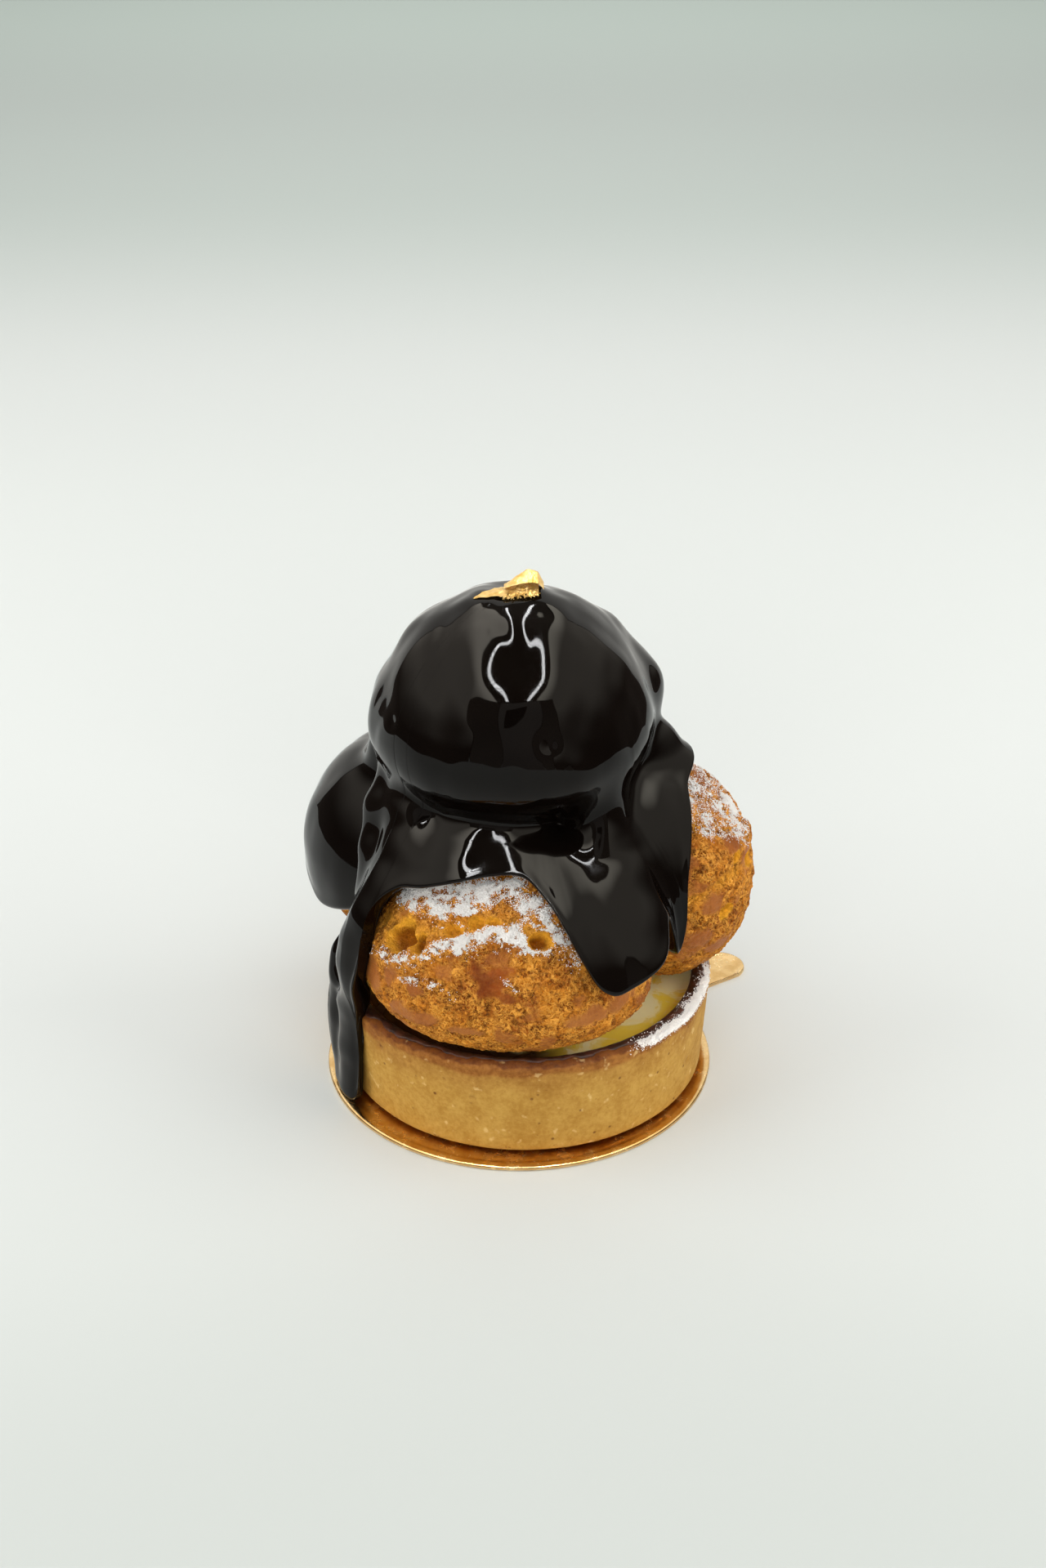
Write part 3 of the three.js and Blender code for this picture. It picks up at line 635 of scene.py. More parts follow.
# marks of each bun: hollows (bearing, rise, half width, half height, depth), a torn line,
# raised ridges (half width, height, stops), smooth browned patches (bearing, rise, half width,
# half height, redness) and sugar strokes (half width, amount, stops)
crust = {
    "front": {
        "facing": -98, "columns": 400, "rows": 246, "seed": 3,
        "hollows": [(-157, 30, 4.2, 3.9, 3.4), (-143, 32, 2.5, 2.7, 2.6), (-70, 43, 2.8, 2.3, 2.4),
                    (-127, 44, 2.2, 1.4, 1.5), (-113, 51, 1.8, 1.2, 1.2), (-101, 53, 1.5, 1.0, 1.0)],
        "tear": [(-174, 28), (-158, 35), (-141, 39), (-128, 44), (-111, 50), (-90, 52), (-70, 47)],
        "ridges": [(2.4, 1.0, [(-136, 30), (-128, 36), (-111, 41), (-99, 46), (-88, 46), (-78, 41),
                               (-66, 37)]),
                   (2.0, 0.7, [(-170, 16), (-156, 18), (-146, 24)]),
                   (1.6, 0.5, [(-160, 44), (-140, 50), (-118, 56), (-95, 60)])],
        "patches": [(-99, 27, 4.6, 5.0, 1.0), (-90, 17, 2.2, 1.8, 0.8), (-166, 8, 4.6, 4.6, 0.0),
                    (-153, 12, 3.0, 3.0, 0.2), (-143, -1, 3.4, 2.6, 0.0), (-129, 0, 4.2, 2.2, 0.1),
                    (-112, -4, 4.8, 1.8, 0.0), (-50, 1, 4.6, 2.6, 0.0), (-33, 3, 3.4, 3.0, 0.0),
                    (-138, 12, 2.4, 1.8, 0.4)],
        "sugar": [(3.4, 0.76, [(-176, 44), (-163, 52), (-146, 60), (-119, 66), (-80, 68), (-66, 60)]),
                  (2.4, 0.86, [(-157, 45), (-144, 50), (-129, 52), (-122, 56), (-113, 62), (-93, 66)]),
                  (2.0, 0.80, [(-172, 14), (-161, 17), (-151, 20), (-146, 24)]),
                  (2.3, 1.00, [(-118, 40), (-109, 43), (-99, 47), (-90, 47), (-83, 43)]),
                  (1.9, 0.80, [(-140, 27), (-130, 33), (-118, 38), (-104, 42), (-88, 42), (-76, 39),
                               (-62, 37), (-54, 31)]),
                  (2.2, 0.75, [(-66, 52), (-58, 43), (-55, 37), (-53, 29)]),
                  (1.3, 0.66, [(-151, 15), (-142, 15), (-133, 18), (-125, 17), (-119, 14)]),
                  (1.0, 0.50, [(-92, 27), (-85, 20)])],
    },
    "right": {
        "facing": -55, "columns": 380, "rows": 230, "seed": 11,
        "hollows": [(-48, -8, 2.2, 1.8, 1.4), (-15, 12, 3.0, 2.2, 1.6), (-36, 22, 2.0, 1.4, 1.2)],
        "tear": [(-80, 6), (-40, 14), (-5, 8)],
        "ridges": [(2.2, 0.7, [(-60, 22), (-30, 28), (0, 22)])],
        "patches": [(-38, 30, 3.0, 2.6, 0.5), (-26, 14, 3.2, 3.8, 0.6), (-60, 4, 2.6, 4.0, 0.2),
                    (-48, -30, 4.4, 2.6, 0.1), (8, 0, 4.0, 5.0, 0.2), (60, 10, 5.0, 4.0, 0.3),
                    (100, -6, 5.0, 5.0, 0.1), (-66, -20, 3.4, 3.0, 0.0)],
        "sugar": [(7.0, 0.70, [(-50, 62), (-20, 50), (20, 56)]),
                  (3.4, 0.62, [(-38, 44), (-26, 34)]),
                  (2.0, 0.36, [(-30, 26), (-10, 22)])],
    },
    "left": {
        "facing": 120, "columns": 330, "rows": 190, "seed": 23,
        "hollows": [(120, 4, 3.6, 2.6, 1.8), (70, 16, 2.6, 2.0, 1.5)],
        "tear": [(60, 12), (100, 6), (140, 12)],
        "ridges": [(2.4, 0.8, [(60, 26), (100, 22), (140, 27)])],
        "patches": [(90, 24, 4.4, 4.0, 0.5), (140, -14, 4.0, 3.6, 0.1), (60, -12, 4.6, 3.4, 0.2),
                    (105, -24, 4.0, 3.0, 0.0)],
        "sugar": [(4.0, 0.55, [(60, 40), (100, 42), (140, 38)])],
    },
    "top": {"facing": -90, "columns": 120, "rows": 60, "seed": 31, "hollows": [], "tear": [], "ridges": [],
            "patches": [], "sugar": []},
}

# heights of the crust's relief in millimetres, from broad to fine
relief = {
    "swell": 0.60, "puff": 0.30, "crumb": 0.24, "grain": 0.12,
    "crack": 0.32, "pore": 0.30, "skin": 0.22,
}

# how much the grid's columns crowd to the side that shows, and its rows to the middle height
crowding = {"columns": 0.42, "rows": 0.16}


def gridNormals(grid):
    # outward unit normals of a ring grid from its neighbours' differences
    across = np.roll(grid, -1, 1) - np.roll(grid, 1, 1)
    down = np.empty_like(grid)
    down[1:-1] = grid[2:] - grid[:-2]
    down[0], down[-1] = grid[1] - grid[0], grid[-1] - grid[-2]
    normal = np.cross(down, across)
    return normal / (np.linalg.norm(normal, axis=-1, keepdims=True) + 1e-12)


def makeBun(name):
    # radius = egg shape + swellings + puffs + crumb - cracks - pores, smooth raised patches,
    # ridges and hollows along a torn line, and flats where it meets a neighbour
    bun, marks = buns[name], crust[name]
    rows, columns, seed = marks["rows"], marks["columns"], marks["seed"]
    turn = np.linspace(0, tau, columns, endpoint=False)
    fall = np.linspace(0, math.pi, rows + 2)[1:-1]
    bearing = math.radians(marks["facing"]) + turn - crowding["columns"] * np.sin(turn)
    polar = fall + crowding["rows"] * np.sin(2 * fall)
    way = directions(*np.meshgrid(bearing, polar))
    ways = np.concatenate([way.reshape(-1, 3), [[0, 0, 1.0], [0, 0, -1.0]]])
    radius = bunRadius(bun, ways)
    place = ways * radius[:, None]
    wobble = fractalNoise(place, 3.0, 3, seed)
    patch, glow = np.zeros(len(ways)), np.zeros(len(ways))
    for *spot, redness in marks["patches"]:
        cover = 1 - smoothStep(0.55, 1.05, spotDistance(ways, bun, *spot) + 0.70 * wobble)
        glow = np.where(cover > patch, redness, glow)
        patch = np.maximum(patch, cover)
    blotches = 0.8 * smoothStep(0.18, 0.42, fractalNoise(place, 5.5, 4, seed + 5))
    glow = np.where(blotches > patch, 0.35, glow)
    patch = np.maximum(patch, blotches)
    hollow, sunk = np.zeros(len(ways)), np.zeros(len(ways))
    for bearingAt, riseAt, wide, tall, deep in marks["hollows"]:
        away = spotDistance(ways, bun, bearingAt, riseAt, wide, tall) + 0.40 * wobble
        hollow = np.maximum(hollow, 1 - smoothStep(0.80, 1.02, away))
        sunk = np.maximum(sunk, (1 - smoothStep(0.45, 1.0, away)) * deep)
    torn = np.zeros(len(ways))
    if marks["tear"]:
        torn = 1 - smoothStep(0.3, 2.2, strokeDistance(ways, bun, marks["tear"]) + 1.3 * wobble)
    raised = np.zeros(len(ways))
    for half, height, stops in marks["ridges"]:
        away = strokeDistance(ways, bun, stops) + 0.5 * half * wobble
        raised = np.maximum(raised, height * (1 - smoothStep(0.2 * half, 1.6 * half, away)))
    patch = patch * (1 - hollow) * (1 - torn)
    near, second = cellNoise(place + 0.5 * wobble[:, None], 3.4, seed + 30)
    puff = smoothStep(0.0, 0.45, second - near) * (1 - near)
    near, second = cellNoise(place + 0.25 * wobble[:, None], 0.80, seed + 40)
    curl = 1 - np.abs(fractalNoise(place, 1.2, 3, seed + 60)) * 2.4
    crumb = np.clip(0.50 * smoothStep(0.0, 0.5, second - near) + 0.55 * curl, 0, 1)
    crack = 1 - smoothStep(0.0, 0.07, np.abs(fractalNoise(place, 4.2, 3, seed + 70)))
    pore = smoothStep(0.26, 0.48, fractalNoise(place, 1.7, 2, seed + 80))
    grain = softNoise(place, 0.55, seed + 85)
    rough = (1 - patch) * (1 - 0.5 * hollow)
    crack = crack * (1 - 0.6 * patch)
    height = (relief["puff"] * (puff - 0.4) * (1 - 0.5 * patch) - relief["crack"] * crack * (1 - hollow)
              + rough * (relief["crumb"] * crumb + relief["grain"] * grain - relief["pore"] * pore)
              + relief["skin"] * patch)
    broad = relief["swell"] * fractalNoise(place, 11.0, 2, seed + 90)
    radius = radius - 0.45 + broad + raised + height - sunk - torn * (0.5 + 0.8 * np.abs(wobble))
    for normal, reach in contactPlanes(bun):
        facing = ways @ normal
        radius = np.where(facing > 0.05, np.minimum(radius, reach / np.maximum(facing, 0.05)), radius)
    points = np.array(bun["centre"]) + ways * radius[:, None]
    normals = np.concatenate([gridNormals(points[:-2].reshape(rows, columns, 3)).reshape(-1, 3), ways[-2:]])
    sugar = np.zeros(len(ways))
    for half, amount, stops in marks["sugar"]:
        away = strokeDistance(ways, bun, stops) + 0.8 * half * wobble
        sugar = np.maximum(sugar, amount * (1 - smoothStep(0.2 * half, 1.5 * half, away)))
    clump = smoothStep(-0.30, 0.22, fractalNoise(place, 2.0, 3, seed + 95))
    sugar = sugar * smoothStep(0.05, 0.65, normals[:, 2]) * (0.35 + 0.65 * clump) * (1 - 0.8 * hollow)
    points = points + ways * (0.18 * smoothStep(0.45, 0.8, sugar) * (1 + 0.8 * grain))[:, None]
    piece = closedShell("choux_bun_" + name, points[:-2].reshape(rows, columns, 3), points[-2], points[-1])
    for label, values in (("patch", patch), ("glow", glow), ("hollow", np.clip(hollow + 0.3 * torn, 0, 1)),
                          # depth: painted shade that grows deeper inside the hollows
                          ("depth", smoothStep(0.4, 2.6, sunk + 0.5 * wobble)),
                          # crumb: low in pores and cracks, where the crust gets painted shade, and high on
                          # the tips, which get a painted highlight
                          ("crumb", np.clip(crumb * (1 - pore) * (1 - 0.8 * crack), 0, 1)),
                          ("sugar", np.clip(sugar, 0, 1))):
        addField(piece, label, values)
    finishPiece(piece, "choux", "choux", "choux_" + name)
    return points, normals, sugar


sugarGrains = {
    "countPerBun": {"front": 24000, "right": 12000, "left": 4000},
    "smallest": 0.045,
    "largest": 0.17,
    "scatter": 0.14,                        # how far grains land off their mark
    "sparsest": 0.10,                       # a thinner dusting than this holds no grains
}


def dustBun(name, points, normals, sugar):
    # grains thrown where the dusting is thick, more and larger in its middle
    random = np.random.default_rng(crust[name]["seed"] + 500)
    chance = np.clip(sugar - sugarGrains["sparsest"], 0, 1) ** 1.3
    if chance.sum() == 0:
        return
    count = sugarGrains["countPerBun"][name]
    picked = random.choice(len(points), count, p=chance / chance.sum())
    outward = normals[picked]
    spread = random.normal(scale=sugarGrains["scatter"], size=(count, 3))
    spread -= (spread * outward).sum(1, keepdims=True) * outward
    smallest, largest = sugarGrains["smallest"], sugarGrains["largest"]
    sizes = smallest + (largest - smallest) * random.random(count) ** 3
    landed = points[picked] + spread
    grains = scatterGrains("icing_sugar_" + name, landed, outward, sizes, crust[name]["seed"])
    finishPiece(grains, "sugar", "choux")


for bunName in buns:
    surface, outward, dusting = makeBun(bunName)
    if bunName in sugarGrains["countPerBun"]:
        dustBun(bunName, surface, outward, dusting)
    print("bun made:", bunName)


# chocolate sauce

def onTart(bearing, radius, height, thickness):
    # a stop of a rope on the tart's outside, by bearing and radius about the tart's own axis
    angle = math.radians(bearing)
    return (tart["centre"][0] + radius * math.cos(angle), tart["centre"][1] + radius * math.sin(angle),
            height, thickness)


sauce = {
    "middle": np.array([0.0, 0.0, 55.0]),   # every ray from here meets the sauce once
    "coat": 2.3,                            # thickness over the buns
    "curtain": 3.4,                         # thickness where it hangs free
    "lift": 0.15,                           # clearance over the buns and the tart
    "reach": 66.0,
    "foot": cardTop + 0.1,                  # the long drip stops just over the card
    "melt": 5,                              # how softly the coats of two buns run together
    "ropeMelt": 1.5,                        # the same between the stretches of one rope
    "thinnest": 0.35,                       # least thickness anywhere
    "lip": 0.35,                            # swelling along the hem, where the sauce gathers
    "lipFrom": 1.6,                         # its distance from the hem and its half width
    "bead": 2.0,                            # rounding along the hem
    "columns": 430, "outerRows": 190, "innerRows": 20,
    "evenTo": 105.0,                        # polar angle that the rows would reach without a hem
}

# ropes of sauce: how softly each melts into the coat, then points x, y, z and radius
ropes = {
    "skirt left edge": (4.0, [(-18, -6, 70, 4.0), (-20.5, -9.5, 63, 5.0), (-20.5, -13, 57, 5.4),
                              (-23.5, -16, 51, 4.8), (-28, -18.5, 45, 4.0), (-31.0, -18.6, 40, 3.3),
                              (-31.4, -18.2, 34.5, 3.4)]),
    "long drip": (3.0, [(-31.2, -18.2, 35, 3.4), (-30.8, -18.4, 30.5, 2.8), onTart(204, 36.6, 23.5, 3.2),
                        onTart(203, 36.8, 12, 3.0), onTart(204, 36.6, 2.6, 3.2)]),
    "drip left side": (3.0, [(-35, -6, 31, 2.4), onTart(193, 36.8, 25, 2.9), onTart(192, 37.2, 15, 2.9),
                             onTart(194, 37.0, 8, 2.8), onTart(197, 36.8, 2.4, 2.8)]),
    "drip right side": (3.0, [(-31.5, -18, 30, 2.4), onTart(210, 36.4, 22, 2.8), onTart(210, 36.6, 12, 2.6),
                              onTart(210, 36.6, 2.4, 3.0)]),
    "web to left bun": (4.0, [(-23, -2, 68, 3.2), (-26, -5, 61, 3.6), (-27.5, -8, 54, 3.2),
                              (-29, -11, 46, 2.6)]),
    "tongue edge": (7.0, [(15.0, -11, 66, 4.2), (16.0, -14.4, 59, 4.4), (18.4, -18.0, 53, 4.6),
                          (22, -22.6, 46, 4.6), (24.0, -26.5, 41, 4.4)]),
    "saddle to right bun": (4.0, [(17, 6, 74, 4.2), (25.5, 6, 69.4, 5.2), (30.6, 5, 63.6, 5.0)]),
    "saddle to left bun": (5.0, [(-10, 6, 70, 9.0), (-22.6, 12, 65.4, 7.2)]),
    "back curtain": (5.0, [(-6, 17, 68, 5.0), (0, 21, 60, 5.5), (3, 23, 52, 5.0), (4, 23.5, 45, 4.2)]),
    "shoulder bulge": (2.5, [(13, 9, 87, 8.2), (19, 9, 79.5, 9.0)]),
    "crown": (6.0, [(-3.6, -0.5, 85.8, 17.6), (2.8, -0.5, 85.8, 17.6)]),
    "peak": (4.0, [(0, 1, 95, 7.0), (1.2, 2.0, 102.4, 2.4)]),
}

# where the sauce gathers: in front of the top bun, over the tongue and over the right bun
pools = {
    "front": {"centre": (-7, -13, 36), "half": (23, 19.8), "up": 30, "down": 14,
              "tilt": 3, "crown": 2, "base": 2, "melt": 4},
    "tongue": {"centre": (4, -18, 33), "half": (26, 21.5), "up": 24.5, "down": 14,
               "tilt": 3, "crown": 2, "base": 2, "melt": 3},
    "right": {"centre": (23.5, -1, 46), "half": (13, 16), "up": 21.5, "down": 14,
              "tilt": 0, "crown": 2, "base": 2, "melt": 3},
}

# shallow dents where the sauce set: place, radius and depth (a negative depth is a swelling)
dents = [
    ((-0.7, -6.0, 103.2), 3.4, -0.67),
    ((-0.2, -10.9, 100.8), 2.5, -0.83),
    ((2.2, -15.8, 96.4), 4.2, 0.54),
    ((-0.2, -20.0, 91.0), 3.4, -0.32),
    ((-12.6, -14.3, 93.3), 6.0, 0.72),
    ((15.1, -10.8, 92.4), 5.5, 0.80),
    ((5.7, -22.5, 83.8), 1.1, 0.40),
    ((-23.1, -12.4, 83.1), 1.0, 0.40),
    ((-11.1, -23.0, 76.0), 5.0, 0.56),
    ((9.8, -22.4, 75.6), 5.0, -0.48),
    ((-5.0, -25.5, 60.0), 3.6, 0.22),
    ((-18.5, -14.0, 65.5), 3.2, -0.55),
    ((7.0, -18.5, 63.0), 3.4, -0.50),
    ((16.5, -14.5, 63.5), 3.0, -0.50),
    ((10.0, -19.0, 60.5), 4.5, -1.30),
]

# the smoothest stretches, on the crown and beside the tongue: place and radius
calmest = [((1.0, -16.0, 94.0), 8.0), ((11.0, -20.0, 59.0), 7.0)]

# the hem seen from the sauce's middle: bearing and polar angle in degrees
hem = [
    (-180, 122), (-176, 122.4), (-173, 126), (-172, 133), (-171, 140), (-168, 144.4), (-157, 145.6),
    (-150, 145.4), (-148.4, 141), (-148.2, 134), (-145, 125), (-141.6, 116), (-140.9, 108), (-140.2, 99.5),
    (-135.1, 94), (-126.3, 91), (-113.6, 86.8), (-101, 84), (-88.3, 84.4), (-81, 90), (-77.4, 94.4),
    (-72.3, 104), (-67, 112.2), (-62.5, 114.4), (-57.5, 113.2), (-51, 110), (-44, 106), (-38.5, 104),
    (-34, 112), (-30.6, 119.4), (-28.4, 114), (-27.4, 107), (-25.6, 99), (-22.6, 93), (-19, 87.6),
    (-14, 82), (-8, 76.8), (0, 73), (8, 71), (17, 71), (27, 74), (40, 84), (52, 89), (64, 88), (74, 97),
    (82, 108), (90, 105), (98, 92), (112, 88), (126, 92), (138, 104), (144, 112), (151, 108), (160, 114),
    (169, 121), (180, 122),
]


def ropeDistance(points, start, end):
    # distance to a round rope whose radius runs evenly from one end to the other
    first, run = np.array(start[:3]), np.array(end[:3]) - np.array(start[:3])
    share = np.clip(((points - first) @ run) / (run @ run), 0, 1)
    away = np.linalg.norm(points - first - share[..., None] * run, axis=-1)
    return away - (start[3] * (1 - share) + end[3] * share)


def sauceDistance(points):
    # buns grown by the coat, melted together, with the ropes melted on
    coat = sauce["coat"]
    lower, right = (bunDistance(buns[name], points, coat) for name in ("front", "right"))
    for name in ("front", "tongue"):
        lower = meltTogether(lower, bunDistance(pools[name], points, 0), pools[name]["melt"])
    right = meltTogether(right, bunDistance(pools["right"], points, 0), pools["right"]["melt"])
    lower = meltTogether(lower, bunDistance(buns["left"], points, coat), sauce["melt"])
    lower = meltTogether(lower, right, sauce["melt"])
    result = meltTogether(bunDistance(buns["top"], points, coat), lower, sauce["melt"])
    for width, stops in ropes.values():
        rope = np.full(points.shape[:-1], 1e3)
        for start, end in zip(stops[:-1], stops[1:]):
            rope = meltTogether(rope, ropeDistance(points, start, end), sauce["ropeMelt"])
        result = meltTogether(result, rope, width)
    return result


flow = {
    "swellings": [(0.68, 9.0, 204), (0.58, 6.0, 202), (0.16, 3.1, 206)],    # height, spacing, seed
    "upright": 0.62,                        # under 1 draws the swellings out downwards
    "onSkirt": 0.6,                         # their share on the skirt; all of it on the dome
    "skirtToDome": (66.0, 80.0),            # heights between which that share grows
    "calming": 0.85,                        # how much the smoothest stretches take away
}


def bellAt(points, place, radius):
    # 1 at a place, falling off as a bell curve
    return np.exp(-np.sum((points - np.array(place)) ** 2, -1) / (2 * radius ** 2))


def flowLines(points):
    # soft swellings left by the pour, drawn out downwards, and the dents
    stretched = points * np.array([1, 1, flow["upright"]])
    height = sum(amount * softNoise(stretched, spacing, seed) for amount, spacing, seed in flow["swellings"])
    onDome = smoothStep(*flow["skirtToDome"], points[..., 2])
    height = height * (flow["onSkirt"] + (1 - flow["onSkirt"]) * onDome)
    for place, radius in calmest:
        height = height * (1 - flow["calming"] * bellAt(points, place, radius))
    for place, radius, depth in dents:
        height = height - depth * bellAt(points, place, radius)
    return height


def supportDistance(points):
    # what the sauce lies on: the buns, and the tart as a plain drum
    lift = sauce["lift"]
    result = np.full(points.shape[:-1], 1e3)
    for bun in buns.values():
        result = meltTogether(result, bunDistance(bun, points, lift), 1.5)
    out = np.linalg.norm(points[..., :2] - tart["centre"], axis=-1) - tart["outer"] - lift
    above = points[..., 2] - tart["top"] - lift
    drum = np.minimum(np.maximum(out, above), 0) + np.hypot(np.maximum(out, 0), np.maximum(above, 0))
    return np.minimum(result, drum)


def outermost(distanceAt, way):
    # farthest point inside the shape along each ray: step in from outside, then halve the gap
    flat = way.reshape(-1, 3)
    length = np.full(len(flat), sauce["reach"])
    seeking = np.arange(len(flat))
    before = length.copy()
    while len(seeking):
        away = distanceAt(sauce["middle"] + flat[seeking] * length[seeking, None])
        seeking, away = seeking[(away > 0) & (length[seeking] > 0)], away[(away > 0) & (length[seeking] > 0)]
        before[seeking] = length[seeking]
        length[seeking] = np.maximum(length[seeking] - np.maximum(0.6 * away, 0.12), 0)
    for _ in range(12):
        half = 0.5 * (length + before)
        inside = distanceAt(sauce["middle"] + flat * half[:, None]) <= 0
        length = np.where(inside, half, length)
        before = np.where(inside, before, half)
    return length.reshape(way.shape[:-1])


def smoothCurve(stops, samples):
    # centripetal Catmull-Rom curve through points that repeat every full turn
    stops = np.array(stops, float)
    turn = np.array([360.0, 0.0])
    loop = np.concatenate([[stops[-2] - turn], stops, [stops[1] + turn]])
    pieces = []
    for a, b, c, d in zip(loop[:-3], loop[1:-2], loop[2:-1], loop[3:]):
        first, middle, last = (math.sqrt(np.linalg.norm(q - p)) for p, q in ((a, b), (b, c), (c, d)))
        leave = ((b - a) / first - (c - a) / (first + middle) + (c - b) / middle) * middle
        arrive = ((c - b) / middle - (d - b) / (middle + last) + (d - c) / last) * middle
        t = np.linspace(0, 1, samples, endpoint=False)[:, None]
        pieces.append(b + leave * t + (3 * (c - b) - 2 * leave - arrive) * t ** 2
                      + (2 * (b - c) + leave + arrive) * t ** 3)
    return np.concatenate(pieces + [[stops[-1]]])


def blurGrid(grid, across, along):
    # averages along rows, joined around, and down columns; widths are counts of repeats
    for _ in range(across):
        grid = 0.5 * grid + 0.25 * (np.roll(grid, 1, 1) + np.roll(grid, -1, 1))
    for _ in range(along):
        grid = np.concatenate([grid[:1], 0.5 * grid[1:-1] + 0.25 * (grid[:-2] + grid[2:]), grid[-1:]])
    return grid


def makeSauce():
    # columns run from the peak to the hem, evenly above and stretched to reach it below; each
    # point lies where its ray leaves the sauce, and the thickness closes in a quarter round
    curve = smoothCurve(hem, 40)
    steps = np.linalg.norm(np.diff(curve, axis=0), axis=1) + 0.8 * np.abs(np.diff(curve[:, 0]))
    travelled = np.concatenate([[0], np.cumsum(steps)])
    wanted = np.linspace(0, travelled[-1], sauce["columns"], endpoint=False)
    bearing = np.radians(np.interp(wanted, travelled, curve[:, 0]))
    limit = np.radians(np.interp(wanted, travelled, curve[:, 1]))
    share = 1 - (1 - np.linspace(0, 1, sauce["outerRows"] + 1)[1:]) ** 1.35
    even = math.radians(sauce["evenTo"])

    def polarAt(down):
        # angle of each row from straight up: even near the peak, then stretched to the hem
        stretched = smoothStep(0.3, 1.0, down)[:, None]
        return down[:, None] * (even + stretched * (limit - even)[None, :])

    polar = polarAt(share)
    way = directions(np.broadcast_to(bearing, polar.shape), polar)
    way[..., 2] = np.cos(polar)
    outer = outermost(sauceDistance, way)
    level, farOff = -0.01, 1e3              # rays flatter than this never meet the card
    drop = sauce["foot"] - sauce["middle"][2]
    floorLimit = np.where(way[..., 2] < level, drop / np.minimum(way[..., 2], level), farOff)
    outer = blurGrid(outer, 3, 3)
    outer = outer + flowLines(sauce["middle"] + way * outer[..., None])
    outer = np.minimum(outer, floorLimit)
    print("sauce outside found")
    innerShare = np.linspace(0, 1, sauce["innerRows"] + 1)[1:]
    innerPolar = polarAt(innerShare)
    innerWay = directions(np.broadcast_to(bearing, innerPolar.shape), innerPolar)
    innerWay[..., 2] = np.cos(innerPolar)
    support = outermost(supportDistance, way)
    inner = np.minimum(np.maximum(support, outer - sauce["curtain"]), outer - sauce["thinnest"])
    outside = sauce["middle"] + way * outer[..., None]
    toHem = np.cumsum(np.linalg.norm(np.diff(outside, axis=0), axis=-1)[::-1], axis=0)[::-1]
    toHem = np.concatenate([toHem, np.zeros((1, toHem.shape[1]))])
    closing = np.sqrt(1 - (1 - np.clip(toHem / sauce["bead"], 0, 1)) ** 2)
    swell = sauce["lip"] * np.exp(-((toHem - sauce["lipFrom"]) / sauce["lipFrom"]) ** 2)
    radius = inner + (outer - inner) * closing + swell * closing
    outside = sauce["middle"] + way * radius[..., None]
    after = np.clip(np.searchsorted(share, innerShare), 1, len(share) - 1)
    part = np.clip((innerShare - share[after - 1]) / (share[after] - share[after - 1]), 0, 1)[:, None]
    depth = inner[after - 1] * (1 - part) + inner[after] * part
    inside = sauce["middle"] + innerWay * depth[..., None]
    grid = np.concatenate([outside, inside[::-1]])
    peak = outermost(sauceDistance, np.array([[0, 0, 1.0]]))[0]
    north = sauce["middle"] + np.array([0, 0, peak])
    south = sauce["middle"] + np.array([0, 0, peak - sauce["curtain"]])
    piece = closedShell("chocolate_sauce", grid, north, south)
    finishPiece(piece, "chocolate", "chocolate", "chocolate_glaze")


makeSauce()
print("sauce made")


# tart shell

tartLook = {
    "columns": 720, "rows": 110, "seed": 71,
    "rimRise": 1.3,                         # height of the rounded rim
    "floorTop": 3.0,                        # thickness of the floor
    "stray": 0.22, "crumble": 0.06,         # broad and fine unevenness of the wall
    "rimCrumble": 0.28,                     # the same fine unevenness on the rim
    "pits": 60,
    "sugarBearings": (-62, 4),
    "sugarGrains": 9000,
    "smallestGrain": 0.045, "grainSpread": 0.14,
}


def profileRun(stops, count):
    # a polyline of radius and height walked evenly
    stops = np.array(stops, float)
    travelled = np.concatenate([[0], np.cumsum(np.linalg.norm(np.diff(stops, axis=0), axis=1))])
    wanted = np.linspace(0, travelled[-1], count)
    return np.interp(wanted, travelled, stops[:, 0]), np.interp(wanted, travelled, stops[:, 1])


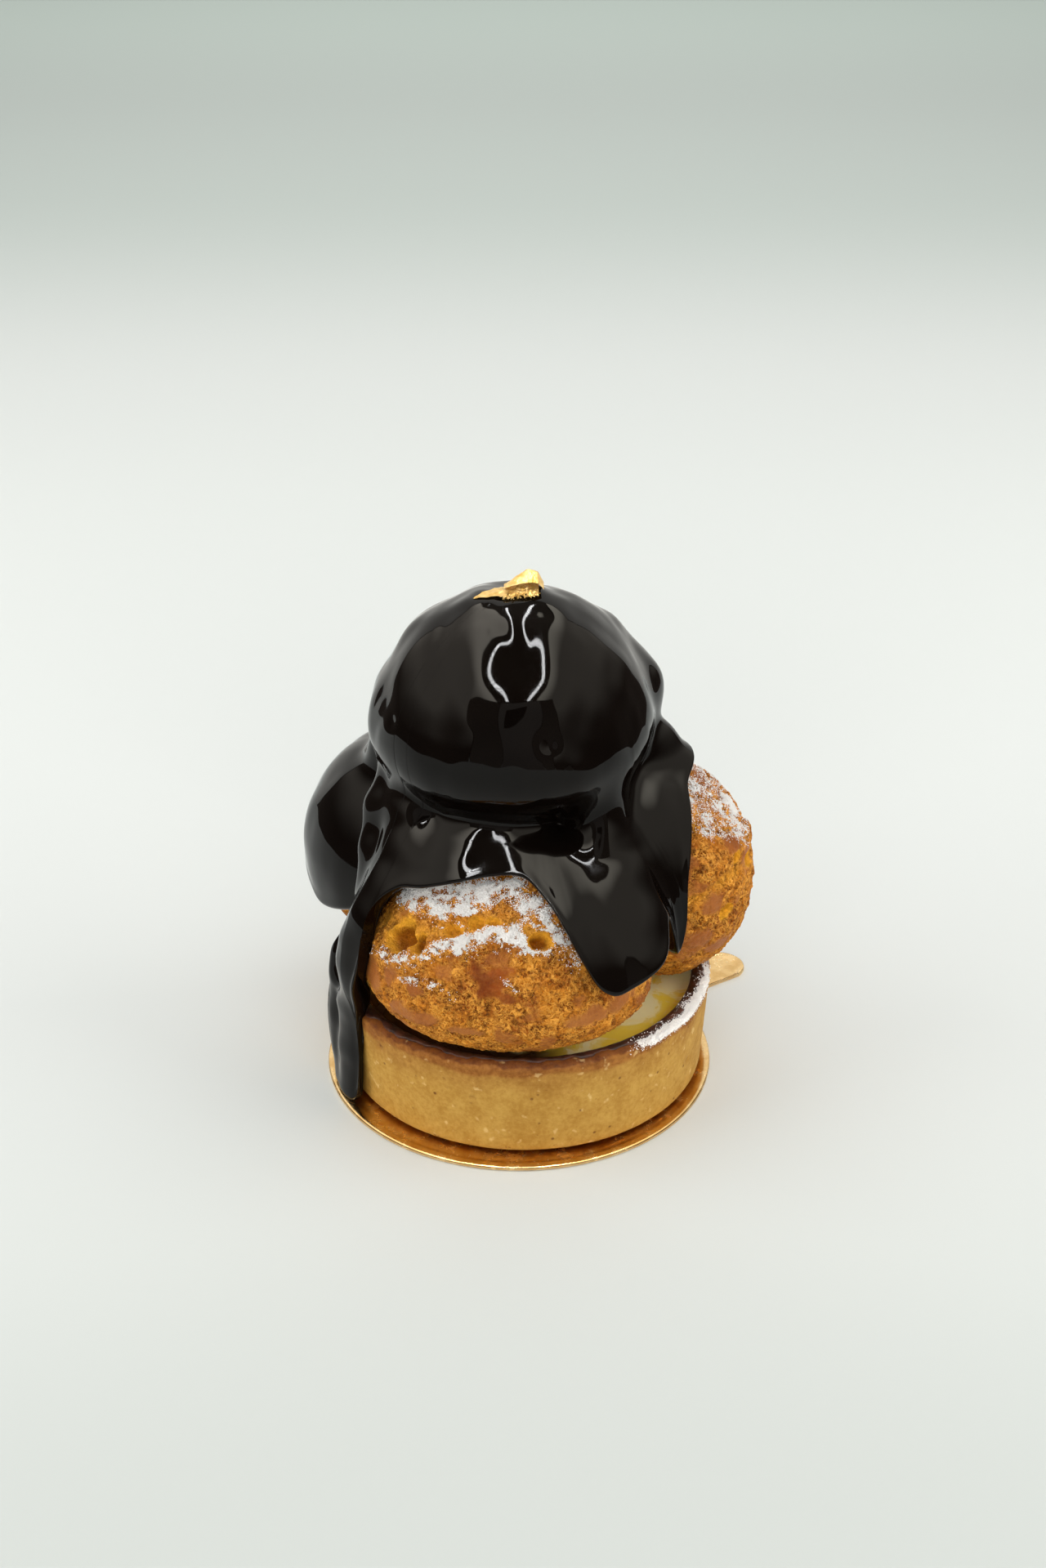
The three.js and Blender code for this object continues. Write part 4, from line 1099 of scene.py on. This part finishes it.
def makeTart():
    # the wall's profile turned about the tart's axis, with a wavy crumbly rim, shallow
    # dents and small pits pressed into the outside
    outer, foot, wall, base, top = tart["outer"], tart["foot"], tart["wall"], tart["floor"], tart["top"]
    inner = outer - wall
    corner = np.linspace(0, math.pi, 15)
    rimRadius = outer - wall / 2 + (wall / 2) * np.cos(corner)
    rise = tartLook["rimRise"]
    rimHeight = top - rise + rise * np.sin(corner)
    stops = [(foot - 1.2, base), (foot - 0.3, base + 0.25), (foot, base + 1.0)]
    floorTop = base + tartLook["floorTop"]
    stops += list(zip(rimRadius, rimHeight)) + [(inner - 0.8, floorTop + 1.5), (inner - 2.2, floorTop)]
    radius, height = profileRun(stops, tartLook["rows"])
    bearing = np.linspace(0, tau, tartLook["columns"], endpoint=False)
    ring = np.stack([np.cos(bearing), np.sin(bearing)], -1)
    standing = np.broadcast_to(height[:, None, None], (len(height), len(bearing), 1))
    place = np.concatenate([radius[:, None, None] * ring[None], standing], -1)
    outside = smoothStep(inner + 0.8, inner + 2.4, radius)[:, None]
    high = smoothStep(top - 3.0, top - 0.4, height)[:, None]
    wander = fractalNoise(place * np.array([1, 1, 0.3]), 9.0, 3, tartLook["seed"])
    crumbly = fractalNoise(place, 1.6, 3, tartLook["seed"] + 3)
    press = outside * (tartLook["stray"] * wander + tartLook["crumble"] * crumbly * (1 - high))
    press = press + high * tartLook["rimCrumble"] * crumbly
    random = np.random.default_rng(tartLook["seed"])
    pit = np.zeros(press.shape)
    sunk = np.zeros(press.shape)
    for index in range(tartLook["pits"]):
        at = random.uniform(0, tau)
        heightAt = base + random.uniform(2.5, 17.5)
        half = random.uniform(0.22, 0.5) if index % 3 else random.uniform(0.7, 1.3)
        middle = np.array([outer * math.cos(at), outer * math.sin(at), heightAt])
        squash = np.array([1, 1, random.uniform(1.0, 1.6)])
        away = np.linalg.norm((place - middle) * squash, axis=-1) / half
        dent = 1 - smoothStep(0.5, 1.15, away + 0.25 * crumbly)
        sunk = np.maximum(sunk, dent * (0.50 if index % 3 else 0.28))
        # the pits' mask, used as painted shade in the colour
        pit = np.maximum(pit, dent * (0.95 if index % 3 else 0.30))
    press = press - sunk * outside
    drop = high * (0.35 * wander - 0.15)
    around = (radius[:, None] + press)[..., None] * ring[None]
    shape = np.concatenate([around, (height[:, None] + drop)[..., None]], -1)
    shape[..., :2] += tart["centre"]
    bottom = np.array([*tart["centre"], base])
    piece = closedShell("tart_crust", shape[::-1], np.array([*tart["centre"], floorTop]), bottom)
    wandering = height[:, None] + 1.6 * wander
    toast = 0.52 * smoothStep(base + 8.0, top - 2.0, wandering)
    toast = toast + 0.60 * smoothStep(top - 3.2, top - 1.2, wandering)
    toast = toast + 0.6 * smoothStep(top - 0.9, top - 0.1, height[:, None] + 0.5 * crumbly)
    toast = np.maximum(toast, 0.55 * (1 - smoothStep(base, base + 1.2, height))[:, None])
    degrees = (np.degrees(bearing) + 180) % 360 - 180
    low, far = tartLook["sugarBearings"]
    run = smoothStep(low, low + 16, degrees) * (1 - smoothStep(far - 10, far, degrees))
    onRim = smoothStep(inner - 0.2, inner + 0.8, radius)[:, None]
    sugar = run[None, :] * high * onRim * (0.85 + 0.6 * wander)
    fields = {"toast": np.clip(toast, 0, 1.7), "pit": pit * outside, "sugar": np.clip(sugar, 0, 1)}
    for name, values in fields.items():
        addField(piece, name, np.concatenate([values[::-1].ravel(), [0.0, 0.0]]))
    finishPiece(piece, "shortcrust", "shortcrust", "tart_shell")
    chance = np.clip(sugar - 0.1, 0, 1).ravel() ** 1.5
    count = tartLook["sugarGrains"]
    picked = random.choice(chance.size, count, p=chance / chance.sum())
    points = shape.reshape(-1, 3)[picked] + random.normal(scale=0.1, size=(count, 3))
    up = np.tile([0.0, 0.0, 1.0], (count, 1))
    sizes = tartLook["smallestGrain"] + tartLook["grainSpread"] * random.random(count) ** 3
    grains = scatterGrains("icing_sugar_rim", points, up, sizes, 5)
    finishPiece(grains, "sugar", "shortcrust")


makeTart()
print("tart made")


# chocolate lining of the rim

liningLook = {
    "columns": 540, "rows": 22, "seed": 91,
    "upper": 0.52, "lower": -0.7,           # its borders as shares of the way over the rim
    "wander": 0.34, "ragged": 0.16,         # how much the upper border strays, broadly and finely
    "bulge": 0.28, "proud": 0.05,           # how far its middle and its borders stand off the rim
    "sunk": -0.35,                          # how far its hidden side lies in the rim
}


def makeLining():
    # a thin dark band over the rim's inner edge, its two borders wandering
    columns, rows = liningLook["columns"], liningLook["rows"]
    bearing = np.linspace(0, tau, columns, endpoint=False)
    inner, top = tart["outer"] - tart["wall"], tart["top"]
    ringPlace = np.stack([inner * np.cos(bearing), inner * np.sin(bearing), np.zeros(columns)], -1)
    wander = fractalNoise(ringPlace, 5.0, 4, liningLook["seed"])
    ragged = fractalNoise(ringPlace, 1.4, 3, liningLook["seed"] + 2)
    upper = liningLook["upper"] + liningLook["wander"] * wander + liningLook["ragged"] * ragged
    lower = liningLook["lower"]
    across = np.concatenate([np.linspace(0, 1, rows), np.linspace(1, 0, rows)])
    side = np.concatenate([np.ones(rows), np.zeros(rows)])
    share = lower + (upper[None, :] - lower) * across[:, None]
    angle = math.pi * (1 - np.clip(share, 0, 1))
    arch = np.sqrt(np.clip(1 - (2 * across - 1) ** 2, 0, 1))
    bulge = liningLook["bulge"] * arch + liningLook["proud"]
    thick = np.where(side[:, None] > 0, bulge[:, None], liningLook["sunk"])
    radius = tart["outer"] - tart["wall"] / 2 + (tart["wall"] / 2 + thick) * np.cos(angle)
    height = top - 1.35 + (1.3 + thick) * np.sin(angle) + np.minimum(share, 0) * 3.2
    points = np.stack([radius * np.cos(bearing), radius * np.sin(bearing), height], -1)
    points = points + 0.08 * fractalNoise(points, 1.2, 2, 7)[..., None]
    points[..., :2] += tart["centre"]
    quads = gridQuads(2 * rows, columns, True)
    last = (2 * rows - 1) * columns
    ring = np.arange(columns)
    closing = np.stack([last + ring, ring, (ring + 1) % columns, last + (ring + 1) % columns], -1)
    piece = makeMesh("chocolate_lining", points.reshape(-1, 3), np.concatenate([quads, closing])[:, ::-1])
    finishPiece(piece, "lining", "chocolate")


makeLining()
print("lining made")


# custard

custardLook = {
    "level": 19.6, "columns": 300, "rows": 120,
    "settled": 0.2,                         # how far the middle lies under that level
    "swell": 0.35, "climb": 0.8,            # heights of the swells and of the rise at the edge
    "bottom": 4.8,
}


def makeCustard():
    # a level disc with low swells, drawn up a little at its edge, over a plain underside
    columns, rows = custardLook["columns"], custardLook["rows"]
    edge = tart["outer"] - tart["wall"] - 0.15
    bearing = np.linspace(0, tau, columns, endpoint=False)
    reach = edge * np.linspace(0, 1, rows + 1)[1:] ** 0.8
    x, y = reach[:, None] * np.cos(bearing), reach[:, None] * np.sin(bearing)
    flat = np.stack([x, y, np.zeros_like(x)], -1)
    climb = custardLook["climb"] * smoothStep(edge - 2.2, edge, reach)[:, None]
    surface, bottom = custardLook["level"] - custardLook["settled"], custardLook["bottom"]
    z = surface + custardLook["swell"] * fractalNoise(flat, 9.0, 2, 61) + climb
    topSide = np.stack([x, y, z], -1)
    wallRows = np.array([[edge - 0.1, 12.0], [edge - 1.0, 6.5], [edge - 2.5, bottom]])
    wallSide = np.stack([wallRows[:, :1] * np.cos(bearing), wallRows[:, :1] * np.sin(bearing),
                         np.broadcast_to(wallRows[:, 1:], (3, columns))], -1)
    grid = np.concatenate([topSide, wallSide])
    grid[..., :2] += tart["centre"]
    north = np.array([*tart["centre"], surface])
    south = np.array([*tart["centre"], bottom])
    piece = closedShell("custard_pool", grid, north, south)
    # painted shade with some chocolate smear: a dark band along the left front edge, in the gap that the bun
    # shades
    rim = smoothStep(edge - 8.0, edge - 5.0, reach[:, None] + 1.2 * fractalNoise(flat, 3.0, 2, 63))
    smearAndShade = rim * smoothStep(0.55, 0.80, -np.sin(bearing + 0.61))
    smearAndShade = np.concatenate([smearAndShade, np.zeros((3, columns))])
    addField(piece, "smearAndShade", np.concatenate([smearAndShade.ravel(), [0.0, 0.0]]))
    finishPiece(piece, "custard", "custard", "custard_filling")


makeCustard()
print("custard made")


# gold card

cardLook = {
    "radius": 39.1, "thickness": 1.0, "columns": 480,
    "tabAngle": 36.5, "tabHalfWidth": 5.2, "tabReach": 59.5,
}


def makeCard():
    # outline = the disc's circle, or the tab's round-ended strip where that reaches farther;
    # the rim is a small roll that stands a little proud of the foil
    columns = cardLook["columns"]
    bearing = np.linspace(0, tau, columns, endpoint=False)
    tab = math.radians(cardLook["tabAngle"])
    offset = (bearing - tab + math.pi) % tau - math.pi
    half, far = cardLook["tabHalfWidth"], cardLook["tabReach"] - cardLook["tabHalfWidth"]
    sine = np.clip(np.abs(far * np.sin(offset)) / half, 0, 1)
    reaches = far * np.cos(offset) + half * np.sqrt(1 - sine ** 2)
    outline = np.where((np.abs(offset) < 0.5) & (np.abs(far * np.sin(offset)) < half), reaches, 0)
    outline = np.maximum(outline, cardLook["radius"])
    thick = cardLook["thickness"]
    inset = np.array([-20, -6, -2.6, -2.2, -1.9, -1.3, -0.7, -0.3, -0.08, 0, -0.06, -0.3, -0.8, -12])
    level = np.array([0.74, 0.74, 0.74, 0.76, 0.84, 0.95, 1.0, 0.96, 0.8, 0.55, 0.25, 0.06, 0, 0])
    level = level * thick
    radius = outline[None, :] + inset[:, None]
    points = np.stack([radius * np.cos(bearing), radius * np.sin(bearing),
                       np.broadcast_to(level[:, None], radius.shape)], -1)
    piece = closedShell("gold_card_disc", points, np.array([0, 0, 0.74 * thick]), np.array([0, 0, 0.0]))
    foil = np.broadcast_to(smoothStep(0.18, 0.42, level / thick)[:, None], radius.shape)
    addField(piece, "foil", np.concatenate([foil.ravel(), [1.0, 0.0]]))
    finishPiece(piece, "goldCard", "gold_card", "gold_card")


makeCard()
print("card made")


# gold leaf

leafLook = {
    "columns": 96, "rows": 48, "thickness": 0.05, "crumbs": 90,
    "flatPlace": (-5.0, -0.9), "foldPlace": (-2.7, -2.3), "innerPlace": (-1.9, -3.0),
    "flatTurn": 13,                         # bearing of the flat flake in degrees
    "flatLength": 7.0, "flatHalfWidth": 2.3,
    "foldLength": 7.3, "foldDepth": 4.2,
    "clearance": 0.08,                      # least height over the sauce
}

# heights of the folded sheet over the glaze along its length: front edge, then crest
foldStops = (0.0, 0.22, 0.42, 0.62, 0.86, 1.0)
foldFront = (1.6, 1.7, 1.8, 2.1, 2.1, 1.0)
foldCrest = (1.3, 1.8, 2.5, 3.2, 3.0, 1.2)


def sauceTop(x, y):
    # height of the sauce straight down at each x and y, found by halving
    lowest, highest, halvings = 88.0, 112.0, 18
    low, high = np.full(x.shape, lowest), np.full(x.shape, highest)
    for _ in range(halvings):
        middle = 0.5 * (low + high)
        inside = sauceDistance(np.stack([x, y, middle], -1)) <= 0
        low, high = np.where(inside, middle, low), np.where(inside, high, middle)
    return low + flowLines(np.stack([x, y, low], -1))


def flatFlake(u, v):
    # a pointed flake lying on the crown: a lens outline with a ragged front, barely lifted
    ragged = fractalNoise(np.stack([u * 6.8, v * 0, v * 0 + 3], -1), 1.3, 3, 33)
    halfWidth = leafLook["flatHalfWidth"] * np.clip(u * 1.5, 0, 1) ** 0.8
    halfWidth = halfWidth * (1 - 0.25 * smoothStep(0.8, 1, u)) * (1 + 0.35 * ragged)
    angle = math.radians(leafLook["flatTurn"])
    along, across = (u - 0.5) * leafLook["flatLength"], (2 * v - 1) * halfWidth
    middleX, middleY = leafLook["flatPlace"]
    x = middleX + along * math.cos(angle) - across * math.sin(angle)
    y = middleY + along * math.sin(angle) + across * math.cos(angle)
    wrinkle = fractalNoise(np.stack([along, across, u * 0], -1), 1.8, 3, 45)
    return x, y, 0.15 + 0.45 * u + 0.30 * np.abs(wrinkle)


def foldedFlake(u, v):
    # a sheet arched over itself: its front edge low, its crest in the middle, its back on the glaze
    ragged = fractalNoise(np.stack([u * 7, v * 0, v * 0], -1), 1.1, 3, 53)
    front, crest = np.interp(u, foldStops, foldFront), np.interp(u, foldStops, foldCrest)
    climb = np.sin(np.clip(v / 0.55, 0, 1) * math.pi / 2) ** 1.3
    fall = smoothStep(0.6, 1.0, v)
    startX, startY = leafLook["foldPlace"]
    x = startX + leafLook["foldLength"] * u + 0.25 * ragged * (1 - v)
    y = startY + leafLook["foldDepth"] * v + 0.30 * ragged * (1 - v) + 0.5 * u
    sheet = np.stack([u * leafLook["foldLength"], v * 4.0, u * 0], -1)
    creases = 0.55 * (1 - 2 * np.abs(fractalNoise(sheet, 1.9, 3, 57))) * (1 - 0.6 * fall)
    return x, y, (front + (crest - front) * climb) * (1 - fall) + 0.15 * fall + 0.45 * creases


def innerFlake(u, v):
    # the sheet seen under the fold, crumpled and close to the glaze
    sheet = np.stack([u * 5.4, v * 3.0, u * 0 + 4], -1)
    creases = np.abs(fractalNoise(sheet, 0.9, 3, 61))
    ragged = fractalNoise(np.stack([u * 5.4, v * 0, v * 0 + 8], -1), 0.7, 3, 63)
    startX, startY = leafLook["innerPlace"]
    y = startY + 3.2 * v + 0.5 * ragged * (1 - v) + 0.5 * u
    return startX + 5.6 * u, y, 0.12 + 0.9 * v + 0.55 * creases


def makeLeaf():
    # three thin sheets, each closed by an underside a little lower, and loose crumbs in front
    columns, rows = leafLook["columns"], leafLook["rows"]
    count = rows * columns
    u, v = np.meshgrid(np.linspace(0, 1, columns), np.linspace(0, 1, rows))
    quads = gridQuads(rows, columns, False)
    border = np.concatenate([np.arange(columns), np.arange(1, rows) * columns + columns - 1,
                             np.arange(columns - 2, -1, -1) + (rows - 1) * columns,
                             np.arange(rows - 2, 0, -1) * columns])
    after = np.roll(border, -1)
    sides = np.stack([border, border + count, after + count, after], -1)
    allPoints, allQuads = [], []
    for index, flake in enumerate((flatFlake, foldedFlake, innerFlake)):
        x, y, lift = flake(u, v)
        lift = np.maximum(lift, leafLook["clearance"])
        upper = np.stack([x, y, sauceTop(x, y) + lift], -1).reshape(-1, 3)
        offset = 2 * count * index
        allPoints += [upper, upper - np.array([0, 0, leafLook["thickness"]])]
        allQuads += [quads[:, ::-1] + offset, quads + count + offset, sides[:, ::-1] + offset]
    piece = makeMesh("gold_leaf_flakes", np.concatenate(allPoints), np.concatenate(allQuads))
    finishPiece(piece, "goldLeaf", "gold_leaf", "gold_leaf")
    random = np.random.default_rng(77)
    crumbs = leafLook["crumbs"]
    x = random.uniform(-2.9, 3.0, crumbs)
    y = -3.1 + 0.14 * x + random.normal(scale=0.35, size=crumbs)
    x[-2:], y[-2:] = (3.9, -1.2), (-1.9, -4.1)
    places = np.stack([x, y, sauceTop(x, y) + random.uniform(0, 0.5, crumbs)], -1)
    up = np.tile([0.0, 0.0, 1.0], (crumbs, 1))
    loose = scatterGrains("gold_leaf_crumbs", places, up, random.uniform(0.10, 0.30, crumbs), 78)
    finishPiece(loose, "goldLeaf", "gold_leaf")


makeLeaf()
print("leaf made")


# floor, light and the white tent that the glaze reflects

def makeFloor():
    # one large level sheet whose colour carries painted light and shade: darker and lighter bands from front
    # to back
    size = 3000.0
    points = np.array([[-size, -size, 0], [size, -size, 0], [size, size, 0], [-size, size, 0]]) - [0, 0, 0.02]
    floor = makeMesh("floor", points, np.array([[0, 1, 2, 3]]), smooth=False)
    material, tree, shader = newMaterial("floor with painted light and shade")
    depth = addNode(tree, "ShaderNodeSeparateXYZ", {"Vector": objectPlace(tree)}).outputs["Y"]
    tone = (0.575, 0.602, 0.567)
    # painted light and shade: each stop brightens or darkens the floor over a stretch of depth
    for start, end, paintedLightStop in ((-0.15, 0.04, (0.745, 0.765, 0.732)), (0.04, 0.33, (0.82, 0.845, 0.805)),
                                (0.40, 0.66, (0.68, 0.738, 0.683)), (0.80, 1.08, (0.775, 0.87, 0.79))):
        tone = mixOf(tree, rampOf(tree, depth, start, end), tone, paintedLightStop)
    setInput(tree, shader.inputs["Base Color"], tone)
    shader.inputs["Roughness"].default_value = 0.9
    shader.inputs["Specular IOR Level"].default_value = 0.0
    floor.data.materials.append(material)


def areaLight(name, place, target, wide, tall, power):
    # a soft light that the glaze doesn't mirror
    data = bpy.data.lights.new(name, "AREA")
    data.shape = "RECTANGLE"
    data.size, data.size_y, data.energy = wide, tall, power
    light = bpy.data.objects.new(name, data)
    light.location = place
    aim = np.array(target, float) - np.array(place, float)
    light.rotation_euler = (math.atan2(math.hypot(aim[0], aim[1]), -aim[2]), 0, math.atan2(-aim[0], aim[1]))
    light.visible_glossy = False
    bpy.context.collection.objects.link(light)


lights = {
    "ceiling": dict(place=(0, 0.05, 0.75), target=(0, 0.05, 0), wide=1.2, tall=1.2, power=4.6),
    "far ceiling": dict(place=(0, 1.0, 0.75), target=(0, 1.0, 0), wide=1.4, tall=0.7, power=4.0),
    "left fill": dict(place=(-0.6, -0.1, 0.30), target=(0, 0, 0.05), wide=0.6, tall=0.5, power=3.0),
    "right fill": dict(place=(0.6, -0.1, 0.30), target=(0, 0, 0.05), wide=0.6, tall=0.5, power=3.0),
    "front fill": dict(place=(0, -0.7, 0.28), target=(0, 0, 0.05), wide=0.8, tall=0.5, power=3.4),
}

# tent walls in metres: half width, back, front, height; the seams between them stay dark
tent = {
    "half": 0.30, "back": 0.25, "front": -0.44, "height": 0.42, "seam": 0.005,
    "stripAt": 0.078, "shade": 0.052,
    "door": (-0.12, 0.16), "opening": (-0.08, 0.08, 0.26, 0.345),
}


def tentPanel(name, low, high, glow):
    # a flat panel between two opposite corners, seen only in reflections
    low, high = np.array(low, float), np.array(high, float)
    flat = int(np.argmin(np.abs(high - low)))
    first, second = [axis for axis in range(3) if axis != flat]
    corners = np.tile(low, (4, 1))
    corners[1:3, first] = high[first]
    corners[2:4, second] = high[second]
    panel = makeMesh(name, corners / mm, np.array([[0, 1, 2, 3]]), smooth=False)
    material, tree, shader = newMaterial(name)
    shader.inputs["Base Color"].default_value = (0, 0, 0, 1)
    shader.inputs["Specular IOR Level"].default_value = 0.0
    setInput(tree, shader.inputs["Emission Color"], glow(tree))
    shader.inputs["Emission Strength"].default_value = 1.0
    panel.data.materials.append(material)
    panel.visible_camera = False
    panel.visible_diffuse = False
    panel.visible_shadow = False


def glowAcross(axis, start, end, near, far):
    # colour running from near to far along one axis
    def build(tree):
        parts = addNode(tree, "ShaderNodeSeparateXYZ", {"Vector": objectPlace(tree)})
        return mixOf(tree, rampOf(tree, parts.outputs[axis], start, end), near, far)
    return build


def dottedGlow(tree):
    # staggered rows of small bright lamps
    parts = addNode(tree, "ShaderNodeSeparateXYZ", {"Vector": objectPlace(tree)})
    along = mathOf(tree, "SINE", mathOf(tree, "MULTIPLY", parts.outputs["Y"], tau / 0.012))
    across = mathOf(tree, "SINE", mathOf(tree, "MULTIPLY", parts.outputs["X"], tau / 0.012))
    lamps = rampOf(tree, mathOf(tree, "MULTIPLY", along, across), -0.05, 0.30)
    return mixOf(tree, lamps, (4.0, 4.0, 4.0), (90.0, 91.0, 92.0))


def makeTent():
    # bright ceilings, walls and lamp strips, the same left and right, round a dark middle, and a
    # dim front wall whose curtain leaves an opening
    half, back, front, top, seam = (tent[key] for key in ("half", "back", "front", "height", "seam"))
    strip = tent["stripAt"]
    dark = strip + tent["shade"]
    for side, sign, fadeEnd, bright, dim in (("left", -1, half, (5.7, 5.3, 4.6), (1.50, 1.38, 1.20)),
                                             ("right", 1, 0.28, (5.1, 4.8, 4.1), (1.25, 1.16, 1.00))):
        inner, outer = sorted((sign * (dark + seam), sign * half))
        tentPanel("ceiling " + side, (inner, front + seam, top), (outer, back - seam, top),
                  glowAcross("X", sign * dark, sign * fadeEnd, bright, dim))
        tentPanel("wall " + side, (sign * half, front + seam, seam), (sign * half, back - seam, top),
                  glowAcross("Z", 0.08, 0.28, (0.11, 0.09, 0.077), dim))
        tentPanel("lamps " + side, (sign * strip - 0.009, front + 0.03, top - 0.01),
                  (sign * strip + 0.009, back - 0.06, top - 0.01), dottedGlow)
    tentPanel("ceiling middle", (-dark, front + seam, top), (dark, back - seam, top),
              glowAcross("Y", front, back, (0.11, 0.085, 0.062), (0.33, 0.29, 0.24)))
    tentPanel("back wall", (-half + seam, back, seam), (half - seam, back, top - seam),
              glowAcross("Z", 0.0, top, (0.95, 0.94, 0.88), (1.15, 1.12, 1.05)))
    doorLeft, doorRight = tent["door"]
    holeLeft, holeRight, holeLow, holeHigh = tent["opening"]
    plain = glowAcross("Z", 0.0, top, (0.27, 0.24, 0.21), (0.19, 0.16, 0.135))
    curtain = glowAcross("Z", 0.0, top, (0.36, 0.33, 0.31), (0.57, 0.53, 0.48))
    for name, left, right, low, high, glow in (
            ("front wall left", -half + seam, doorLeft - seam, seam, top - seam, plain),
            ("front wall right", doorRight + seam, half - seam, seam, top - seam, plain),
            ("door left", doorLeft, holeLeft, seam, top - seam, curtain),
            ("door right", holeRight, doorRight, seam, top - seam, curtain),
            ("door low", holeLeft, holeRight, seam, holeLow, curtain),
            ("door high", holeLeft, holeRight, holeHigh, top - seam, curtain)):
        tentPanel(name, (left, front, low), (right, front, high), glow)


makeFloor()
for lightName, settings in lights.items():
    areaLight(lightName, **settings)
makeTent()

world = bpy.data.worlds.new("soft room")
bpy.context.scene.world = world
world.use_nodes = True
world.node_tree.nodes["Background"].inputs["Color"].default_value = (0.80, 0.86, 0.83, 1)
world.node_tree.nodes["Background"].inputs["Strength"].default_value = 0.04
print("stage set")
